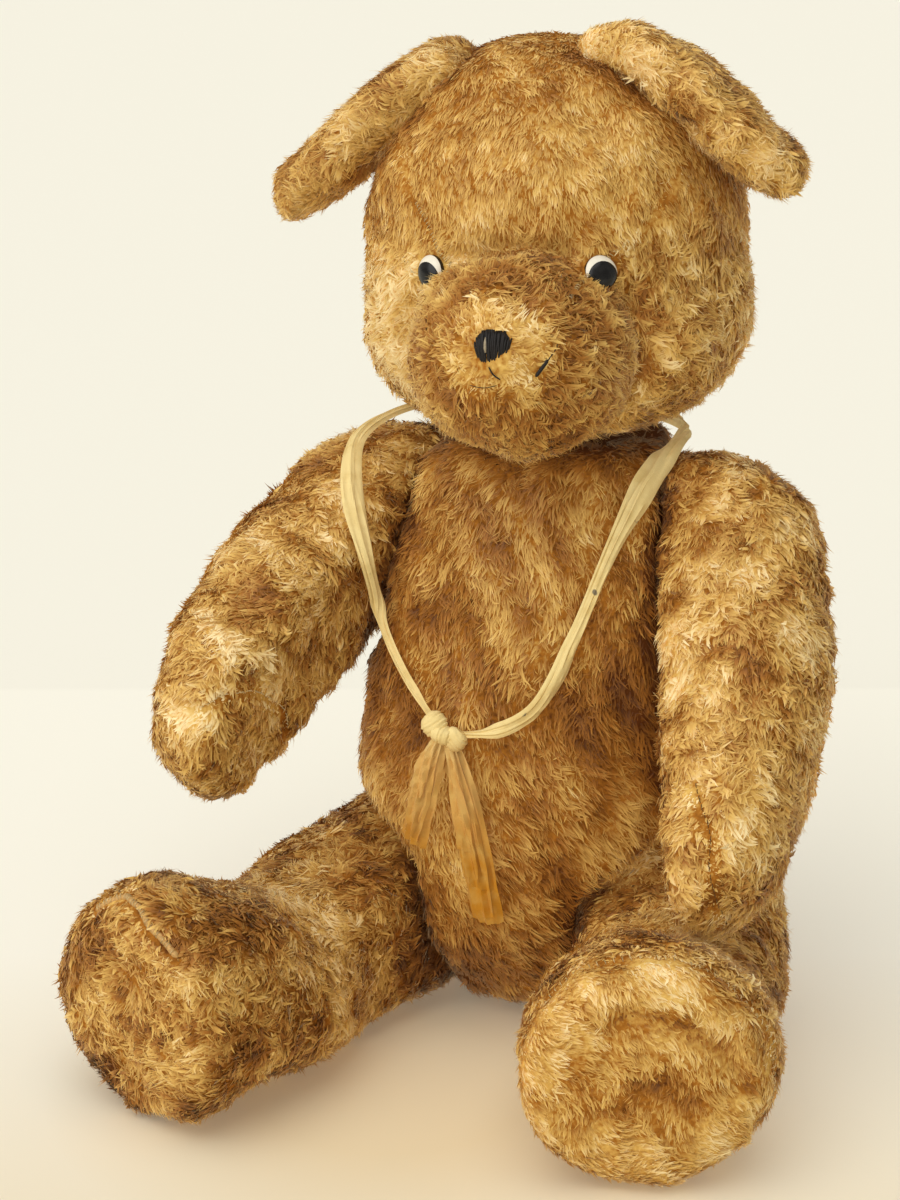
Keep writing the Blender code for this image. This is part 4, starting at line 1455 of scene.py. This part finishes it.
def floor_card():
    """Matt card with painted shade: a warm painted shadow under the bear and a darker painted band in front
    of it, paler farther off, and a little darker behind.
    """
    material, tree, shader = new_material("floor_card")
    spot = object_place(tree)
    across, along, _ = split(tree, spot)
    # Painted shade: a band of floor in front of the bear is darker and yellower, as where less light falls;
    # farther off it is pale again.
    back = calc(tree, "MULTIPLY_ADD", along, 0.93, calc(tree, "MULTIPLY", across, -0.36))
    paling = calc(tree, "MAXIMUM", ranged(tree, back, -0.36, 0.02), ranged(tree, back, -0.5, -1.4))
    base = mixed(tree, paling, colour_of("floor_front_painted_shade"), colour_of("floor_colour"))
    away = add(tree, "ShaderNodeVectorMath", operation="DISTANCE")
    feed(tree, away.inputs, (spot, (-0.03, -0.14, 0.0)))
    # Painted shadow: the card turns warmer and darker close under the bear.
    under = ranged(tree, away.outputs["Value"], 0.07, 0.17, 0.55, 0.0)
    base = mixed(tree, under, base, colour_of("floor_painted_shadow"))
    behind = ranged(tree, back, 0.398, 0.405)
    base = mixed(tree, behind, base, shade_of(colour_of("floor_colour"), 0.965))
    tree.links.new(base, shader.inputs["Base Color"])
    shader.inputs["Roughness"].default_value = 0.9
    shader.inputs["Specular IOR Level"].default_value = 0.1
    return material


def link(name, data):
    """An object of the studio."""
    item = bpy.data.objects.new(name, data)
    bpy.context.scene.collection.objects.link(item)
    return item


def make_floor():
    """A pale floor, with painted shadow and shade in its colour."""
    mesh = bpy.data.meshes.new("floor")
    mesh.from_pydata([(-5, -4, 0), (5, -4, 0), (5, 8, 0), (-5, 8, 0)], [], [(0, 1, 2, 3)])
    mesh.materials.append(floor_card())
    link("floor", mesh)


def make_lights():
    """Warm light from all round, one broad lamp above and one without shadow from the front."""
    world = bpy.data.worlds.new("studio")
    bpy.context.scene.world = world
    world.use_nodes = True
    tree = world.node_tree
    shade, path = tree.nodes["Background"], add(tree, "ShaderNodeLightPath")
    shade.inputs["Color"].default_value = (1.0, 0.96, 0.87, 1.0)
    strength = ranged(tree, path.outputs["Is Camera Ray"], 0, 1, 0.43, 0.92)
    tree.links.new(strength, shade.inputs["Strength"])
    for name, power, way in (
        ("key_light", 1.08, (0.05, 0.30, -1.15)),
        ("front_light", 1.45, (0.44, 0.88, -0.58)),
    ):
        sun = bpy.data.lights.new(name, "SUN")
        sun.energy, sun.angle, sun.color = power, radians(60), (1.0, 0.99, 0.97)
        sun.use_shadow = name == "key_light"
        link(name, sun).rotation_euler = Vector(way).to_track_quat("-Z", "Y").to_euler()


def make_camera():
    """A long lens a little above the bear and to its left."""
    camera = link("camera", bpy.data.cameras.new("camera"))
    camera.data.lens = 93.7
    turn, rise, distance = radians(21), radians(20), 1.5
    aim = Vector((-0.0218, -0.082, 0.2328))
    back = Vector((sin(turn) * cos(rise), -cos(turn) * cos(rise), sin(rise)))
    camera.location = aim + back * distance
    camera.rotation_euler = (-back).to_track_quat("-Z", "Y").to_euler()
    bpy.context.scene.camera = camera
    bpy.context.scene.view_settings.view_transform = "Standard"


# ---------------------------------------------------------------- add-on

def colour_setting(name, about, *shown):
    """A colour that a user can change, given as it shows on screen."""
    return FloatVectorProperty(
        name=name, description=about, subtype="COLOR", size=3, min=0, max=1, default=linear(*shown),
    )


class BearSettings(bpy.types.PropertyGroup):
    """Sizes and colours of the bear and its studio"""
    pile_density: FloatProperty(
        name="Pile density", description="Share of the full coat that is grown",
        default=1.0, min=0.05, max=1.0,
    )
    pile_length: FloatProperty(
        name="Pile length", description="Length of the pile against its usual 6 to 8 mm",
        default=1.0, min=0.4, max=1.3,
    )
    ribbon_gathered: FloatProperty(
        name="Ribbon width", description="Width of the gathered ribbon",
        default=0.0068, min=0.005, max=0.016, unit="LENGTH",
    )
    root_colour: colour_setting("Root colour", "Darkest pile, near its roots", 88, 46, 12)
    brown_colour: colour_setting("Brown", "Shaded and soiled pile", 166, 106, 34)
    gold_colour: colour_setting("Gold", "Clean pile", 225, 184, 99)
    straw_colour: colour_setting("Straw", "Worn and bleached pile tips", 253, 233, 180)
    eye_white: colour_setting("Eye white", "Pale part of the eyes", 240, 234, 216)
    eye_black: colour_setting("Eye black", "Black part of the eyes", 12, 11, 11)
    nose_thread: colour_setting("Nose thread", "Nose and mouth embroidery", 24, 18, 15)
    seam_thread: colour_setting("Seam thread", "Thread of the seams", 222, 196, 140)
    ribbon_colour: colour_setting("Ribbon", "Cotton of the ribbon", 240, 217, 152)
    ribbon_aged: colour_setting("Aged ribbon", "Stained cotton at the ribbon's ends", 198, 136, 34)
    floor_colour: colour_setting("Floor", "Colour of the studio floor", 252, 250, 238)
    floor_painted_shadow: colour_setting("Floor under", "Warm cast of the floor under the bear", 232, 206, 152)
    floor_front_painted_shade: colour_setting("Floor in front", "Colour of the floor in front of the bear", 236, 222, 190)


class BEAR_OT_skins(bpy.types.Operator):
    """Builds the stuffed skins of the torso, head, ears, arms and legs"""
    bl_idname = "bear.skins"
    bl_label = "Stuffed parts"

    def execute(self, context):
        for number, (name, (body, size, _)) in enumerate(PARTS.items()):
            mesh = stuffed_skin(name, body, size).data
            points, normals, _ = arrays(mesh)
            move_points(mesh, shaped(name, points, normals, 100 + 10 * number))
        return {"FINISHED"}


class BEAR_OT_pile(bpy.types.Operator):
    """Covers the stuffed parts in mohair pile"""
    bl_idname = "bear.pile"
    bl_label = "Pile"

    def execute(self, context):
        for number, (name, (body, _, budget)) in enumerate(PARTS.items()):
            tone_skin(name)
            grow(name, body, budget, 102 + 10 * number)
        return {"FINISHED"}


class BEAR_OT_eyes(bpy.types.Operator):
    """Builds the two eye buttons"""
    bl_idname = "bear.eyes"
    bl_label = "Eyes"

    def execute(self, context):
        for side in SIDES:
            make_eye(side)
        return {"FINISHED"}


class BEAR_OT_nose(bpy.types.Operator):
    """Builds the stitched nose"""
    bl_idname = "bear.nose"
    bl_label = "Nose"

    def execute(self, context):
        make_nose()
        return {"FINISHED"}


class BEAR_OT_stitches(bpy.types.Operator):
    """Builds the stitches of the gusset, the mouth, the paws and the soles"""
    bl_idname = "bear.stitches"
    bl_label = "Stitches"

    def execute(self, context):
        stitch_gusset()
        stitch_mouth()
        brown = thread("brown_thread", linear(104, 74, 36))
        for side in SIDES:
            stitch_limb("arm_" + side, 0.15, 0.0022, 0.0010, brown if side == "left" else pale_thread())
            stitch_limb("leg_" + side, 0.8, 0.0036, 0.0010 if side == "left" else 0.0016, pale_thread())
        raise_sole_seam()
        return {"FINISHED"}


class BEAR_OT_ribbon(bpy.types.Operator):
    """Builds the knotted neck ribbon"""
    bl_idname = "bear.ribbon"
    bl_label = "Ribbon"

    def execute(self, context):
        make_ribbon()
        return {"FINISHED"}


class BEAR_OT_fittings(bpy.types.Operator):
    """Gives the joints' discs, washers and pins their materials"""
    bl_idname = "bear.fittings"
    bl_label = "Joint fittings"

    def execute(self, context):
        for name, node in frame["nodes"].items():
            if name.startswith("disc"):
                node.material_slots[0].material = hardboard()
            elif name.startswith(("washer", "cotter")):
                node.material_slots[0].material = steel()
        return {"FINISHED"}


class BEAR_OT_studio(bpy.types.Operator):
    """Sets up the floor, the light and the camera"""
    bl_idname = "bear.studio"
    bl_label = "Studio"

    def execute(self, context):
        make_floor()
        make_lights()
        make_camera()
        return {"FINISHED"}


OPERATORS = (
    BEAR_OT_skins, BEAR_OT_pile, BEAR_OT_eyes, BEAR_OT_nose, BEAR_OT_stitches, BEAR_OT_ribbon,
    BEAR_OT_fittings, BEAR_OT_studio,
)


class BEAR_PT_panel(bpy.types.Panel):
    """Lists the bear's settings and pieces"""
    bl_idname = "BEAR_PT_panel"
    bl_label = "Old Mohair Bear"
    bl_space_type = "VIEW_3D"
    bl_region_type = "UI"
    bl_category = "Bear"

    def draw(self, context):
        for name in BearSettings.__annotations__:
            self.layout.prop(context.scene.bear, name)
        for item in OPERATORS:
            self.layout.operator(item.bl_idname)


CLASSES = (BearSettings, *OPERATORS, BEAR_PT_panel)


def register():
    for item in CLASSES:
        bpy.utils.register_class(item)
    bpy.types.Scene.bear = PointerProperty(type=BearSettings)


def unregister():
    del bpy.types.Scene.bear
    for item in reversed(CLASSES):
        bpy.utils.unregister_class(item)


def main():
    register()
    bpy.ops.bear.skins()
    bpy.ops.bear.pile()
    bpy.ops.bear.eyes()
    bpy.ops.bear.nose()
    bpy.ops.bear.stitches()
    bpy.ops.bear.ribbon()
    bpy.ops.bear.fittings()
    bpy.ops.bear.studio()


if __name__ == "__main__":
    main()
